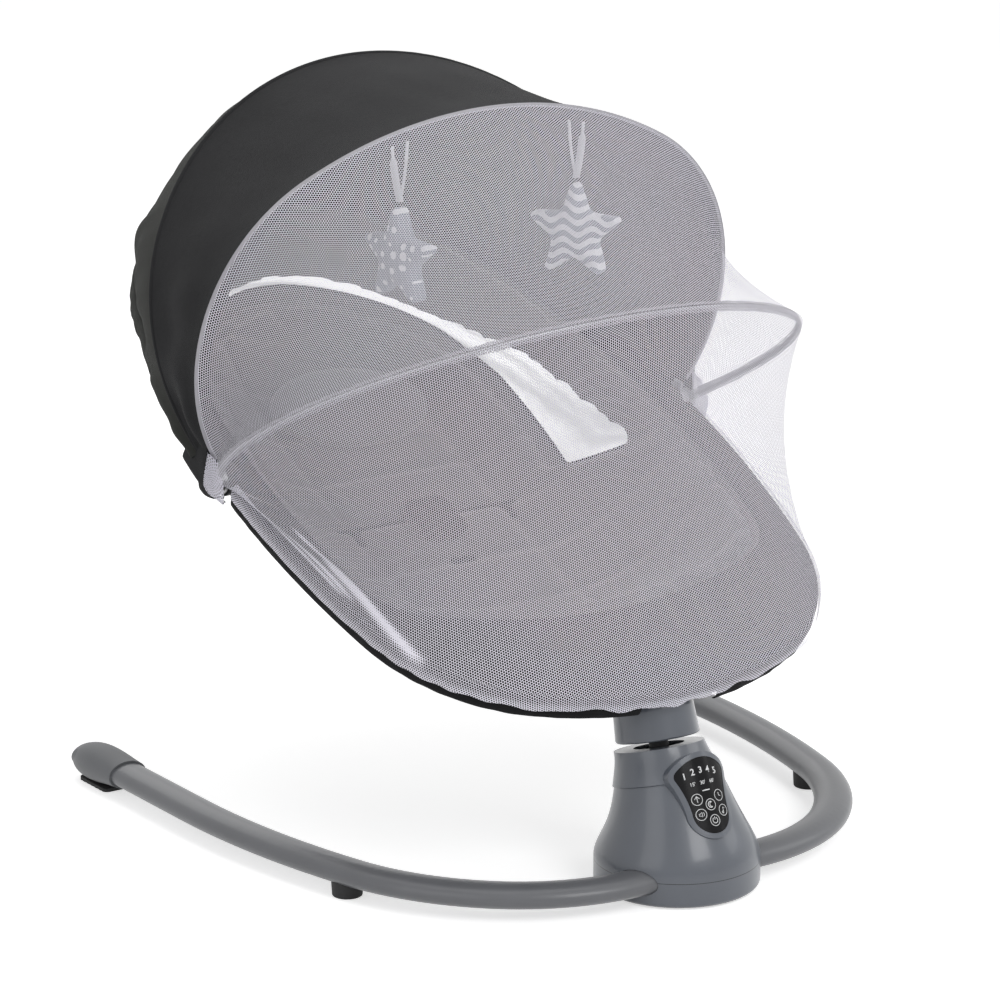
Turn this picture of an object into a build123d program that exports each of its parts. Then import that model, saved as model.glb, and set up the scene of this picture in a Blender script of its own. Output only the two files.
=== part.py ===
from build123d import *
import os
from math import acos, asin, atan2, cos, degrees, hypot, radians, sin, sqrt, tan

# Baby swing: a bell-shaped base with two curved legs carries a tilted seat that
# swings about an oblique neck.  The seat is a fabric bowl in an oval tube loop,
# with a two-bow canopy and a third bow that holds an insect net over the front.
# Millimetres.  Origin: centre of the base on the floor.  +X right, +Y towards the
# head end, +Z up.  The swing is symmetric about the plane X = 0.

# ---------------------------------------------------------------- driving sizes
base_radius = 67.5            # moulded base ring
base_seam = 22.0              # height of the joint between base ring and housing
shell_wall = 2.5              # wall of the plastic shells
mat_radius = 60.0             # non-slip mat under the base
mat_thickness = 1.5
plate_thickness = 3.0
ledge_width = 6.0             # inner ledge of the base ring that the plate bears on
fit_gap = 0.3                 # clearance between pieces that only lie side by side
run_gap = 0.05                # radial clearance of a shaft in its hole

neck_tilt = 15.5              # lean of the swing axis towards the head end
neck_set_back = 25.7          # centre of the housing's top ring
neck_height = 109.4
neck_radius = 35.5
neck_hole = 21.0
# share of the housing's height, and share of its total narrowing reached there
bell_profile = [(0.0, 0.0), (0.15, 0.09), (0.40, 0.43), (0.66, 0.70), (0.87, 0.91), (1.0, 1.0)]

shroud_proud = 1.5            # raised cape that carries the control panel
shroud_depth = 27.0           # how far the cape comes down the neck
panel_slope = 64.0            # rise of the panel above the horizontal
panel_foot_y = -54.5          # lowest point of the panel
panel_foot_z = 58.0
panel_curve = 43.0            # the panel bends round this radius
panel_thickness = 2.0
panel_height = 62.0
panel_top_width = 49.0
panel_foot_radius = 17.0
panel_border = 4.5            # visible edge of the cape round the panel
board_depth = 17.0            # circuit board behind the panel face
board_thickness = 1.6

shaft_radius = 8.0
bearing_outer = 16.0
bearing_width = 9.0
bearing_spread = 36.0         # distance between the two bearings' centres
carrier_wall = 5.0
collar_gap = 6.0              # air gap between housing and collar
collar_height = 25.0
collar_radius = 34.5
collar_taper = 1.5
arm_reach = 32.0              # magnet's distance from the swing axis
magnet_size = (16.0, 10.0, 8.0)
coil_outer = 14.0
coil_inner = 6.0
coil_height = 13.0
speaker_radius = 16.0
speaker_height = 6.0
jack_size = 12.0
jack_bore = 3.0

leg_half_width = 16.3
leg_half_height = 10.2
leg_wall = 1.6
leg_level = 20.0              # height of the leg's centre line
leg_root = (48.0, -27.0)      # inner end of the right leg
leg_root_heading = -4.0
leg_arcs = [(165.0, 42.0), (213.0, 75.0), (800.0, 90.0)]   # radius, heading reached
leg_end_y = 500.0
socket_wall = 3.0
foot_y = 126.0                # round foot under each leg
foot_radius = 13.5
cap_start_y = 432.0
# end cap: distance from its mouth, half width, half height, centre height
cap_sections = [(0, 18.2, 12.1, 20.0), (24, 19.4, 14.4, 19.6), (48, 19.2, 16.0, 18.6),
                (66, 15.6, 13.4, 17.4), (77, 9.0, 8.0, 16.0)]
cap_pad_height = 3.0
cap_pad_width = 22.0
cap_pad_length = 46.0
pad_ribs = 6

rim_tilt = 24.5               # slope of the seat loop, rising towards the head
rim_height = 157.0            # height of the loop's plane over the origin
rim_foot = 9.0                # foot end of the tube's centre line, along the slope
rim_arcs = [(308.0, 23.0), (143.0, 79.0), (858.0, 107.0), (222.0, 160.0)]
tube_radius = 9.0
tube_wall = 1.2
sleeve_wall = 2.0
sleeve_reach = 26.0
hub_spread = 10.0             # half angle of the saddle on the foot tube's front arc

pivot_y = 316.0               # axis of all three bows, on the loop's centre line
boss_radius = 13.0
eye_radius = 11.0
eye_thickness = 3.4
eye_gap = 0.7
pin_radius = 3.5
pin_head_radius = 8.0
pin_head_height = 1.8
pin_tail = 1.9                # how far the pin reaches into its boss
bow_wire = 1.6
bow_foot = 18.0               # where the round wire leaves its flat eye
tab_width = 8.0
tab_lap = 0.4                 # how far the eye's flat tab reaches past the end of the wire
fabric_foot = 25.0            # where the fabric starts on a bow, from the bows' axis
hem_foot = 45.0               # where it starts on the seat's edge
# each bow: reach, crown radius, crown half angle, angle above the foot-end horizontal
front_bow = {"reach": 295.0, "crown": 374.0, "half_angle": 28.0, "angle": 80.0}
rear_bow = {"reach": 339.0, "crown": 266.0, "half_angle": 60.0, "angle": 116.0}
net_bow = {"reach": 302.0, "crown": 320.0, "half_angle": 40.0, "angle": 31.5}

fabric_gap = 0.5              # soft pieces keep this distance from their neighbours
cover_thickness = 1.5
cover_skirt = 8.0
eye_room = 22.5               # opening in the cover round the bows' eyes
lip_start = 99.0              # foot end of the seat hollow, along the slope
lip_radius = 404.0
lip_corner = 60.0
# seat bowl: share of its depth, and how far its wall has moved in there
bowl_depth = 117.0
bowl_levels = [(0.0, 0.0), (0.35, 14.0), (0.75, 50.0), (1.0, 102.0)]
sling_thickness = 2.5
pad_thickness = 12.0
skin_thickness = 1.2
net_thickness = 0.8
net_sag = 16.0                # how far the net is drawn in half way between two arches

star_x = 88.0
star_radius = 52.0            # centre to tip before rounding
star_waist = 23.0             # centre to the notch between two points
star_round = 5.0
star_thickness = 18.0
star_drop = 102.0             # star's centre below the bow
star_swing = 55.0             # how far a star swings each way
ribbon_width = 7.0
ribbon_thickness = 1.0
ribbon_gap = 0.3              # between the bow's wire and the ribbon hung on it
star_turns = {"right": -59.0, "left": -84.0}

# see-through mesh let into the seat's side walls: distance along the slope, level
vent_corners = [(332.0, -22.0), (374.0, -76.0), (492.0, -62.0), (570.0, -60.0), (570.0, -48.0), (478.0, -33.0)]
vent_strip = (-60.0, -48.0)   # levels of its narrow run round the head end
vent_reach = 560.0            # where the narrow run takes over
vent_thickness = 1.0
pillow_size = (78.0, 52.0, 17.0)
pillow_along = 497.0
strap_width = 25.0
strap_thickness = 2.0
buckle_size = (46.0, 52.0, 12.0)
buckle_along = 345.0
crotch_along = 268.0          # where the crotch strap leaves the seat

screw_radius = 1.8
screw_head = 3.4
hub_screw_x = 22.0
hub_screw_depth = 8.0


# ---------------------------------------------------------------- helpers
def emit(shape, name):
    """Write one node."""
    export_step(shape, f"parts/{name}.step")


def both_sides(shape, name):
    """Write a right-hand piece and its mirror image."""
    emit(shape, f"right_{name}")
    emit(mirror(shape, about=Plane.YZ), f"left_{name}")


def disc(radius, bottom, top, x=0.0, y=0.0):
    """Upright cylinder between two heights."""
    return Pos(x, y, bottom) * Cylinder(radius, top - bottom, align=(Align.CENTER, Align.CENTER, Align.MIN))


def ring(outer, inner, bottom, top):
    return disc(outer, bottom, top) - disc(inner, bottom - 1, top + 1)


def arc(centre, radius, start, end):
    """Arc between two angles, in degrees from the x direction."""
    turns = [radians(angle) for angle in (start, 0.5 * (start + end), end)]
    points = [(centre[0] + radius * cos(turn), centre[1] + radius * sin(turn)) for turn in turns]
    return Edge.make_three_point_arc(*points)


def flipped(edge):
    """Mirror image of an arc in x = 0."""
    return Edge.make_three_point_arc(*[(-point.X, point.Y) for point in (edge @ 0, edge @ 0.5, edge @ 1)])


def meet(first, first_radius, second, second_radius):
    """Right-hand crossing point of two circles."""
    dx = second[0] - first[0]
    dy = second[1] - first[1]
    gap = hypot(dx, dy)
    along = (first_radius**2 - second_radius**2 + gap**2) / (2 * gap)
    aside = sqrt(first_radius**2 - along**2)
    points = [(first[0] + (along * dx + side * aside * dy) / gap,
               first[1] + (along * dy - side * aside * dx) / gap) for side in (1, -1)]
    return max(points)


def mirrored_outline(half):
    """Closed wire from the right half of an outline that starts and ends on x = 0."""
    left = [flipped(edge) for edge in half]
    return Wire(list(half) + list(left))


# ---------------------------------------------------------------- frames
neck = Plane(origin=(0, neck_set_back, neck_height), x_dir=(1, 0, 0),
             z_dir=(0, sin(radians(neck_tilt)), cos(radians(neck_tilt))))
rim = Plane(origin=(0, 0, rim_height), x_dir=(1, 0, 0),
            z_dir=(0, -sin(radians(rim_tilt)), cos(radians(rim_tilt))))
pivot_z = rim_height + pivot_y * tan(radians(rim_tilt))
pivot_along = pivot_y / cos(radians(rim_tilt))


def bow_plane(angle):
    """Plane through the bow axis; its y direction rises by angle from the foot-end horizontal."""
    turn = radians(angle)
    return Plane(origin=(0, pivot_y, pivot_z), x_dir=(1, 0, 0), z_dir=(0, -sin(turn), -cos(turn)))


# ---------------------------------------------------------------- seat outline
def rim_centres():
    """Centres, radii and headings of the arcs of the loop's right half, foot to head."""
    x, along, heading = 0.0, rim_foot, 0.0
    parts = []
    for radius, reached in rim_arcs:
        centre = (x - radius * sin(radians(heading)), along + radius * cos(radians(heading)))
        parts.append((centre, radius, heading, reached))
        x = centre[0] + radius * sin(radians(reached))
        along = centre[1] - radius * cos(radians(reached))
        heading = reached
    radius = x / sin(radians(heading))
    parts.append(((0.0, along + radius * cos(radians(heading))), radius, heading, 180.0))
    return parts


rim_parts = rim_centres()
side_centre, side_radius = rim_parts[2][0], rim_parts[2][1]
pivot_heading = degrees(acos((side_centre[1] - pivot_along) / side_radius))
pivot_x = side_centre[0] + side_radius * sin(radians(pivot_heading))


def rim_half(inset, first=0.0, last=180.0):
    """Arcs of the loop's right half between two headings, moved inwards by inset."""
    edges = []
    for centre, radius, start, end in rim_parts:
        low, high = max(start, first), min(end, last)
        if high - low > 0.01:
            edges.append(arc(centre, radius - inset, low - 90, high - 90))
    return edges


def rim_face(inset):
    return Face(mirrored_outline(rim_half(inset)))


def bowl_half(inset):
    """Right half of the hollow's outline: foot-end lip, corner, then parallel to the loop."""
    wall = tube_radius + sleeve_wall + fabric_gap + inset
    lip_centre = (0.0, lip_start + lip_radius)
    lip = lip_radius - inset
    side = side_radius - wall
    corner = meet(lip_centre, lip - lip_corner, side_centre, side - lip_corner)
    lip_turn = degrees(atan2(corner[0] - lip_centre[0], lip_centre[1] - corner[1]))
    side_turn = degrees(atan2(corner[0] - side_centre[0], side_centre[1] - corner[1]))
    edges = [arc(lip_centre, lip, -90, lip_turn - 90),
             arc(corner, lip_corner, lip_turn - 90, side_turn - 90)]
    return edges + rim_half(wall, first=side_turn)


def bowl_face(inset):
    return Face(mirrored_outline(bowl_half(inset)))


cover_top = tube_radius + sleeve_wall + fabric_gap     # underside of the fabric over the tubes
bowl_top = cover_top - fabric_gap


def bowl_form(gap):
    """Solid whose surface lies inside the seat bowl's outer surface by gap."""
    faces = []
    for share, moved_in in bowl_levels:
        level = bowl_top - share * (bowl_depth - gap)
        faces.append(rim * Pos(0, 0, level) * bowl_face(moved_in + gap))
    return loft(faces)


# ---------------------------------------------------------------- base
def bell(offset, top_cut=0.0):
    """Housing form, grown by offset, with its top lowered by top_cut along the neck."""
    faces = []
    rise = neck_height - base_seam
    for share, narrowing in bell_profile:
        radius = base_radius + (neck_radius - base_radius) * narrowing + offset
        tilt = radians(neck_tilt * share)
        lift = base_seam + rise * share - top_cut * share
        plane = Plane(origin=(0, neck_set_back * share**2, lift), x_dir=(1, 0, 0),
                      z_dir=(0, sin(tilt), cos(tilt)))
        faces.append(plane * Circle(radius).face())
    return loft(faces)


def leg_path():
    """Centre line of the right leg: three tangent arcs, then straight to the end."""
    x, y = leg_root
    heading = leg_root_heading
    edges = []
    for radius, reached in leg_arcs:
        centre = (x - radius * sin(radians(heading)), y + radius * cos(radians(heading)))
        edges.append(arc(centre, radius, heading - 90, reached - 90))
        x = centre[0] + radius * sin(radians(reached))
        y = centre[1] - radius * cos(radians(reached))
        heading = reached
    edges.append(Edge.make_line((x, y), (x, leg_end_y)))
    return Pos(0, 0, leg_level) * Wire(edges), x, centre


leg_line, leg_end_x, leg_centre = leg_path()


def leg_form(grow, line=None):
    """Oval bar along the leg's centre line, grown by grow all round."""
    path = line if line is not None else leg_line
    start = Plane(origin=path @ 0, x_dir=(0, 0, 1), z_dir=path % 0)
    return sweep(start * Ellipse(leg_half_height + grow, leg_half_width + grow), path=path)


plate_top = mat_thickness + plate_thickness
boss_circle = base_radius - shell_wall - ledge_width
screw_spots = [(boss_circle * cos(radians(a)), boss_circle * sin(radians(a))) for a in (60, 120, 240, 300)]
leg_stub = Pos(0, 0, leg_level) * Wire([arc((leg_root[0] - leg_arcs[0][0] * sin(radians(leg_root_heading)),
                                             leg_root[1] + leg_arcs[0][0] * cos(radians(leg_root_heading))),
                                            leg_arcs[0][0], leg_root_heading - 92, leg_root_heading - 80)])


def build_base_mat():
    return disc(mat_radius, 0, mat_thickness)


def build_base_plate():
    plate = disc(base_radius - shell_wall - fit_gap, mat_thickness, plate_top)
    for x, y in screw_spots:
        plate -= disc(screw_radius + fit_gap, 0, plate_top + 1, x, y)
        plate -= disc(screw_head + fit_gap, 0, mat_thickness + 1.5, x, y)
    return plate


def build_base_ring():
    body = disc(base_radius, mat_thickness, base_seam)
    body = fillet(body.edges().group_by(Axis.Z)[0], 4)
    body -= disc(base_radius - shell_wall, mat_thickness - 1, base_seam + 1)
    body += ring(base_radius - shell_wall + 0.5, boss_circle, plate_top, plate_top + 2.5)
    for x, y in screw_spots:
        body += disc(4.2, plate_top, base_seam - 4, x, y)
        body -= disc(screw_radius - 0.2, plate_top - 1, base_seam - 6, x, y)
    socket = leg_form(fit_gap + socket_wall, leg_stub)
    socket &= disc(base_radius - shell_wall + 0.5, plate_top, base_seam) + disc(boss_circle, plate_top, 45)
    for side in (socket, mirror(socket, about=Plane.YZ)):
        body += side
    for hole in (leg_form(fit_gap, leg_stub), mirror(leg_form(fit_gap, leg_stub), about=Plane.YZ)):
        body -= hole
    body -= Pos(0, base_radius, jack_level) * Rot(90, 0, 0) * Cylinder(jack_nose + fit_gap, 20)
    body -= Pos(0, jack_back, jack_level) * Box(
        jack_size + 2 * fit_gap, 3 * jack_size, jack_size + 2 * fit_gap, align=(Align.CENTER, Align.MAX, Align.CENTER))
    return body


jack_level = plate_top + jack_size / 2
jack_nose = jack_size / 2 - 1
jack_back = base_radius - shell_wall - 1


def build_housing():
    outer = bell(0)
    shell = outer - bell(-shell_wall, shell_wall)
    shell -= neck * disc(neck_hole, -shell_wall - 8, 5)
    for spot in board_posts():
        shell += spot & bell(-shell_wall / 2)
    for hole in (leg_form(fit_gap, leg_stub), mirror(leg_form(fit_gap, leg_stub), about=Plane.YZ)):
        shell -= hole
    shell -= panel_seat()
    for row in range(5):
        slot = Pos(0, base_radius - 12, base_seam + 14 + 5 * row) * Box(30 - 3 * row, 40, 2)
        shell -= slot
    return shell


panel_rise = radians(panel_slope)
panel_plane = Plane(origin=(0, panel_foot_y, panel_foot_z), x_dir=(1, 0, 0),
                    z_dir=(0, -sin(panel_rise), cos(panel_rise)))


def panel_outline(grow):
    """Shield-shaped panel: wide arched top, hollow sides and a round foot."""
    half = panel_top_width / 2 + grow
    foot = panel_foot_radius + grow
    shoulder = panel_height - 11 + grow * 0.3
    middle = panel_foot_radius + 2
    waist = 0.5 * (half + foot) - 1.4
    top = Edge.make_three_point_arc((-half, shoulder), (0, panel_height + grow), (half, shoulder))
    right = Edge.make_three_point_arc((half, shoulder), (waist, 0.5 * (shoulder + middle)), (foot, middle))
    bottom = Edge.make_three_point_arc((foot, middle), (0, -grow), (-foot, middle))
    left = Edge.make_three_point_arc((-foot, middle), (-waist, 0.5 * (shoulder + middle)), (-half, shoulder))
    face = Face(Wire([top, right, bottom, left]))
    return face.fillet_2d(6 + grow, face.vertices())


def panel_prism(grow):
    """The panel's outline as a bar along the panel's normal."""
    return extrude(panel_plane * Pos(0, 0, -24) * panel_outline(grow), amount=40, dir=panel_plane.z_dir)


def pod_form(offset):
    """Round bar whose front carries the panel's face."""
    bar = Cylinder(panel_curve + offset, 2 * panel_height)
    return panel_plane * Pos(0, panel_height / 2, -panel_curve) * Rot(90, 0, 0) * bar


def board_plane():
    return panel_plane * Pos(0, panel_height / 2 + 2, -board_depth)


def board_posts():
    posts = []
    for x in (-11, 11):
        for y in (-13, 13):
            posts.append(board_plane() * Pos(x, y, board_thickness) * Cylinder(
                2.6, 20, align=(Align.CENTER, Align.CENTER, Align.MIN)))
    return posts


def panel_seat():
    """Space taken by the panel's plate."""
    return (panel_prism(fit_gap) & pod_form(2 * panel_thickness)) - pod_form(-panel_thickness)


def build_shroud():
    """Cape round the neck with the pod in front that holds the panel."""
    cape = (bell(shroud_proud) - bell(0)) & (neck * disc(base_radius, -shroud_depth, 20))
    pod = (pod_form(0) & panel_prism(panel_border)) - bell(0)
    room = pod_form(-2 * panel_thickness) & panel_prism(panel_border - shell_wall)
    return (cape - panel_prism(panel_border - 0.1) + pod) - room - panel_seat()


def build_panel():
    return (pod_form(-fit_gap) - pod_form(-panel_thickness)) & panel_prism(0)


def build_board():
    return board_plane() * Box(29, 35, board_thickness, align=(Align.CENTER, Align.CENTER, Align.MIN))


carrier_top = -shell_wall - 0.5
upper_bearing_z = carrier_top - 4 - bearing_width / 2
lower_bearing_z = upper_bearing_z - bearing_spread
carrier_foot = lower_bearing_z - bearing_width / 2 - 3


def build_carrier():
    outer = bearing_outer + carrier_wall
    body = disc(outer, carrier_foot, carrier_top) + disc(outer + 8, carrier_top - 4, carrier_top)
    body -= disc(bearing_outer - 3, carrier_foot - 1, carrier_top + 1)
    for level in (upper_bearing_z, lower_bearing_z):
        body -= disc(bearing_outer, level - bearing_width / 2, level + bearing_width / 2)
    body -= disc(bearing_outer, upper_bearing_z, carrier_top + 1)
    body -= disc(bearing_outer, carrier_foot - 1, lower_bearing_z)
    return neck * body


def build_bearing(level):
    return neck * ring(bearing_outer, shaft_radius + run_gap, level - bearing_width / 2, level + bearing_width / 2)


arm_top = carrier_foot - 1.5
arm_thickness = 7.0
collar_top = collar_gap + collar_height
shaft_top = collar_top + 14


def build_shaft():
    body = disc(shaft_radius, arm_top - arm_thickness, shaft_top)
    shoulder = upper_bearing_z + bearing_width / 2 + 2 * run_gap
    body += disc(shaft_radius + 2.5, shoulder, shoulder + 4)
    return neck * body


def build_arm():
    low = arm_top - arm_thickness
    body = disc(shaft_radius + 5, low, arm_top)
    body += Pos(0, arm_reach / 2, low) * Box(12, arm_reach, arm_thickness, align=(Align.CENTER, Align.CENTER, Align.MIN))
    body -= disc(shaft_radius, low - 1, arm_top + 1)
    body -= Pos(0, arm_reach, arm_top - 2 - magnet_size[2]) * Box(
        *magnet_size, align=(Align.CENTER, Align.CENTER, Align.MIN))
    return neck * body


def build_magnet():
    return neck * Pos(0, arm_reach, arm_top - 2 - magnet_size[2]) * Box(
        *magnet_size, align=(Align.CENTER, Align.CENTER, Align.MIN))


def coil_place():
    """Floor position under the magnet's rest place."""
    spot = neck.from_local_coords(Vector(0, arm_reach, arm_top))
    return spot.Y - 6


def build_coil():
    y = coil_place()
    body = disc(coil_outer, plate_top, plate_top + coil_height, 0, y)
    body -= disc(coil_inner, plate_top + 3, plate_top + coil_height + 1, 0, y)
    core = disc(coil_inner - 2, plate_top + 2, plate_top + coil_height - 1, 0, y)
    return body + core


def build_speaker():
    x, y = -30, 12
    body = disc(speaker_radius, plate_top, plate_top + speaker_height, x, y)
    cone = Pos(x, y, plate_top + 2) * Cone(5, speaker_radius - 3, speaker_height - 1,
                                           align=(Align.CENTER, Align.CENTER, Align.MIN))
    return body - cone


def build_jack():
    """Low-voltage inlet: block with a round nose that reaches the ring's outside."""
    face = base_radius - 1
    body = Pos(0, jack_back - fit_gap, jack_level) * Box(
        jack_size, jack_size, jack_size, align=(Align.CENTER, Align.MAX, Align.CENTER))
    along = Pos(0, face, jack_level) * Rot(90, 0, 0)
    nose = along * Cylinder(jack_nose, 8, align=(Align.CENTER, Align.CENTER, Align.MIN))
    hole = along * Pos(0, 0, -1) * Cylinder(jack_bore, 11, align=(Align.CENTER, Align.CENTER, Align.MIN))
    return body + nose - hole


def build_base_screws():
    screws = []
    for x, y in screw_spots:
        screw = disc(screw_head, mat_thickness, mat_thickness + 1.4, x, y)
        screw += disc(screw_radius - 0.3, mat_thickness + 1, base_seam - 8, x, y)
        screws.append(screw)
    return Compound(children=screws)


def build_leg():
    return leg_form(0) - leg_form(-leg_wall)


def leg_x(y):
    """Centre line of the leg's long arc at a given y."""
    return leg_centre[0] + sqrt((leg_end_x - leg_centre[0]) ** 2 - (leg_centre[1] - y) ** 2)


def build_foot():
    body = Pos(leg_x(foot_y), foot_y, 0) * Cone(foot_radius - 1.2, foot_radius, leg_level,
                                               align=(Align.CENTER, Align.CENTER, Align.MIN))
    body = fillet(body.edges().group_by(Axis.Z)[0], 1.2)
    return body - leg_form(0.05)


def build_cap():
    faces = []
    for along, half_width, half_height, level in cap_sections:
        plane = Plane(origin=(leg_end_x, cap_start_y + along, level), x_dir=(1, 0, 0), z_dir=(0, 1, 0))
        faces.append(plane * Ellipse(half_width, half_height).face())
    body = loft(faces)
    body = fillet(body.edges().group_by(Axis.Y)[-1], 5)
    body = split(body, bisect_by=Plane(origin=(0, 0, cap_pad_height)), keep=Keep.TOP)
    end = Plane(origin=(leg_end_x, cap_start_y - 1, leg_level), x_dir=(1, 0, 0), z_dir=(0, 1, 0))
    body -= extrude(end * Ellipse(leg_half_width + 0.1, leg_half_height + 0.1), amount=leg_end_y - cap_start_y + 1)
    return body


def build_cap_pad():
    start = cap_start_y + 20
    body = Pos(leg_end_x, start + cap_pad_length / 2, 0) * Box(
        cap_pad_width, cap_pad_length, cap_pad_height, align=(Align.CENTER, Align.CENTER, Align.MIN))
    body = fillet(body.edges().filter_by(Axis.Z), 5)
    pitch = cap_pad_length / (pad_ribs + 1)
    for rib in range(1, pad_ribs + 1):
        body -= Pos(leg_end_x, start + rib * pitch, 0) * Box(cap_pad_width + 1, 1.4, 1.6)
    return body


# ---------------------------------------------------------------- seat frame
def tube_along(edges, radius, wall):
    path = rim * Wire(edges)
    start = Plane(origin=path @ 0, z_dir=path % 0)
    outer = sweep(start * Circle(radius), path=path)
    return outer - sweep(start * Circle(radius - wall), path=path)


def loop_edges(first, last):
    """Both halves of the loop between two headings, as one run of edges through the middle."""
    half = rim_half(0, first, last)
    left = [flipped(edge) for edge in half]
    return left + half


def build_foot_tube():
    return tube_along(loop_edges(0, pivot_heading - 0.05), tube_radius, tube_wall)


def build_head_tube():
    return tube_along(loop_edges(pivot_heading + 0.05, 180), tube_radius, tube_wall)


def build_side_joint():
    """Sleeve over the two tube ends, with the boss that the bows turn on."""
    reach = degrees(sleeve_reach / side_radius)
    edges = rim_half(0, pivot_heading - reach, pivot_heading + reach)
    path = rim * Wire(edges)
    start = Plane(origin=path @ 0, z_dir=path % 0)
    body = sweep(start * Circle(tube_radius + sleeve_wall), path=path)
    boss = Pos(pivot_x, pivot_y, pivot_z) * Rot(0, 90, 0) * Cylinder(
        boss_radius, tube_radius + sleeve_wall + 0.6, align=(Align.CENTER, Align.CENTER, Align.MIN))
    body += boss
    body -= sweep(start * Circle(tube_radius), path=path)
    pin_hole = Pos(boss_face - pin_tail - fit_gap, pivot_y, pivot_z) * Rot(0, 90, 0) * Cylinder(
        pin_radius - 1 + run_gap, 8, align=(Align.CENTER, Align.CENTER, Align.MIN))
    return body - pin_hole


boss_face = pivot_x + tube_radius + sleeve_wall + 0.6


def eye_x(order):
    """Inner face of a bow's eye; the eyes are stacked outwards from the boss."""
    return boss_face + eye_gap + order * (eye_thickness + eye_gap)


def build_pins():
    head = eye_x(3)
    pin = disc(pin_radius, boss_face + 0.05, head) + disc(pin_radius - 1, boss_face - pin_tail, boss_face + 0.1)
    pin += disc(pin_head_radius, head, head + pin_head_height)
    pin = Pos(0, pivot_y, pivot_z) * Rot(0, 90, 0) * pin
    return Compound(children=[pin, mirror(pin, about=Plane.YZ)])


def build_collar():
    outer = Cone(collar_radius, collar_radius - collar_taper, collar_height,
                 align=(Align.CENTER, Align.CENTER, Align.MIN))
    outer = fillet(outer.edges().group_by(Axis.Z)[0], 2)
    inner = Cone(collar_radius - shell_wall, collar_radius - collar_taper - shell_wall, collar_height - plate_thickness,
                 align=(Align.CENTER, Align.CENTER, Align.MIN))
    body = Pos(0, 0, collar_gap) * outer - Pos(0, 0, collar_gap - 0.01) * inner
    body += disc(shaft_radius + 5, collar_gap + 6, collar_top - 1)
    body -= disc(shaft_radius, 0, collar_top + 1)
    for x in (-hub_screw_x, hub_screw_x):
        body -= disc(screw_radius + fit_gap, collar_top - 4, collar_top + 1, x, 0)
    return neck * body


def build_hub():
    radius = collar_radius - collar_taper
    post = Pos(0, 0, collar_top) * Cone(radius, radius - 5, 24, align=(Align.CENTER, Align.CENTER, Align.MIN))
    body = neck * post
    body &= rim * Pos(0, 0, -100 - 3) * Box(200, 400, 200)
    path = rim * Wire(loop_edges(0, hub_spread))
    start = Plane(origin=path @ 0, z_dir=path % 0)
    body += sweep(start * Circle(tube_radius + sleeve_wall), path=path)
    long_path = rim * Wire(loop_edges(0, hub_spread + 6))
    long_start = Plane(origin=long_path @ 0, z_dir=long_path % 0)
    body -= sweep(long_start * Circle(tube_radius), path=long_path)
    body -= neck * disc(shaft_radius, collar_top - 1, shaft_top)
    for x in (-hub_screw_x, hub_screw_x):
        body -= neck * disc(screw_radius + run_gap, collar_top - 1, collar_top + hub_screw_depth + 1, x, 0)
    return body


def build_hub_screws():
    screws = []
    for x in (-hub_screw_x, hub_screw_x):
        screw = disc(screw_radius, collar_top - plate_thickness - 0.1, collar_top + hub_screw_depth, x, 0)
        screw += disc(screw_head, collar_top - plate_thickness - 2, collar_top - plate_thickness - run_gap, x, 0)
        screws.append(neck * screw)
    return Compound(children=screws)


# ---------------------------------------------------------------- bows
def bow_numbers(bow, order):
    """Arc centres and radii of a bow: one crown arc and two tangent side arcs."""
    foot_x = eye_x(order) + eye_thickness / 2
    turn = radians(bow["half_angle"])
    height = bow["reach"] - bow_foot
    out = bow["crown"] * sin(turn)
    up = height - bow["crown"] * (1 - cos(turn))
    side = ((foot_x - out) ** 2 + up**2) / (2 * (up * cos(turn) - (foot_x - out) * sin(turn)))
    crown_centre = (0.0, bow["reach"] - bow["crown"])
    step = bow["crown"] - side
    side_centre_x = step * sin(turn)
    side_centre_y = crown_centre[1] + step * cos(turn)
    return crown_centre, (side_centre_x, side_centre_y), side


def bow_half(bow, order, grow, foot=bow_foot):
    """Right half of a bow from its foot to its top, moved outwards by grow: three arcs."""
    crown_centre, side_at, side = bow_numbers(bow, order)
    end = degrees(asin((foot - side_at[1]) / (side + grow)))
    knee = 90 - bow["half_angle"]
    middle = 0.5 * (end + knee)
    return [arc(side_at, side + grow, end, middle), arc(side_at, side + grow, middle, knee),
            arc(crown_centre, bow["crown"] + grow, knee, 90)]


def band(outer_half, inner_half):
    """Thin arch between two half outlines, as a face."""
    outer = outer_half + [flipped(edge) for edge in outer_half]
    inner = inner_half + [flipped(edge) for edge in inner_half]
    foot = Edge.make_line(outer_half[0] @ 0, inner_half[0] @ 0)
    other = Edge.make_line(outer[len(outer_half)] @ 0, inner[len(inner_half)] @ 0)
    return Face(Wire(outer + inner + [foot, other]))


def bow_band(bow, order, inner, outer, angle=None):
    plane = bow_plane(bow["angle"] if angle is None else angle)
    return plane * band(bow_half(bow, order, outer, fabric_foot), bow_half(bow, order, inner, fabric_foot))


def build_bow(bow, order):
    """Round spring-steel hoop with a flat eye at each end."""
    plane = bow_plane(bow["angle"])
    half = bow_half(bow, order, 0)
    path = plane * Wire(half + [flipped(edge) for edge in half])
    start = Plane(origin=path @ 0, z_dir=path % 0)
    body = sweep(start * Circle(bow_wire), path=path)
    low = eye_x(order)
    for side in (1, -1):
        eye = plane * Pos(side * (low + eye_thickness / 2), 0, 0) * Rot(0, 90, 0) * Cylinder(eye_radius, eye_thickness)
        tab = plane * Pos(side * (low + eye_thickness / 2), (bow_foot + tab_lap) / 2, 0) * Box(
            eye_thickness, bow_foot + tab_lap, tab_width)
        body += eye + tab
    hole = Pos(0, pivot_y, pivot_z) * Rot(0, 90, 0) * Cylinder(pin_radius + run_gap, 4 * pivot_x)
    return body - hole


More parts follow.
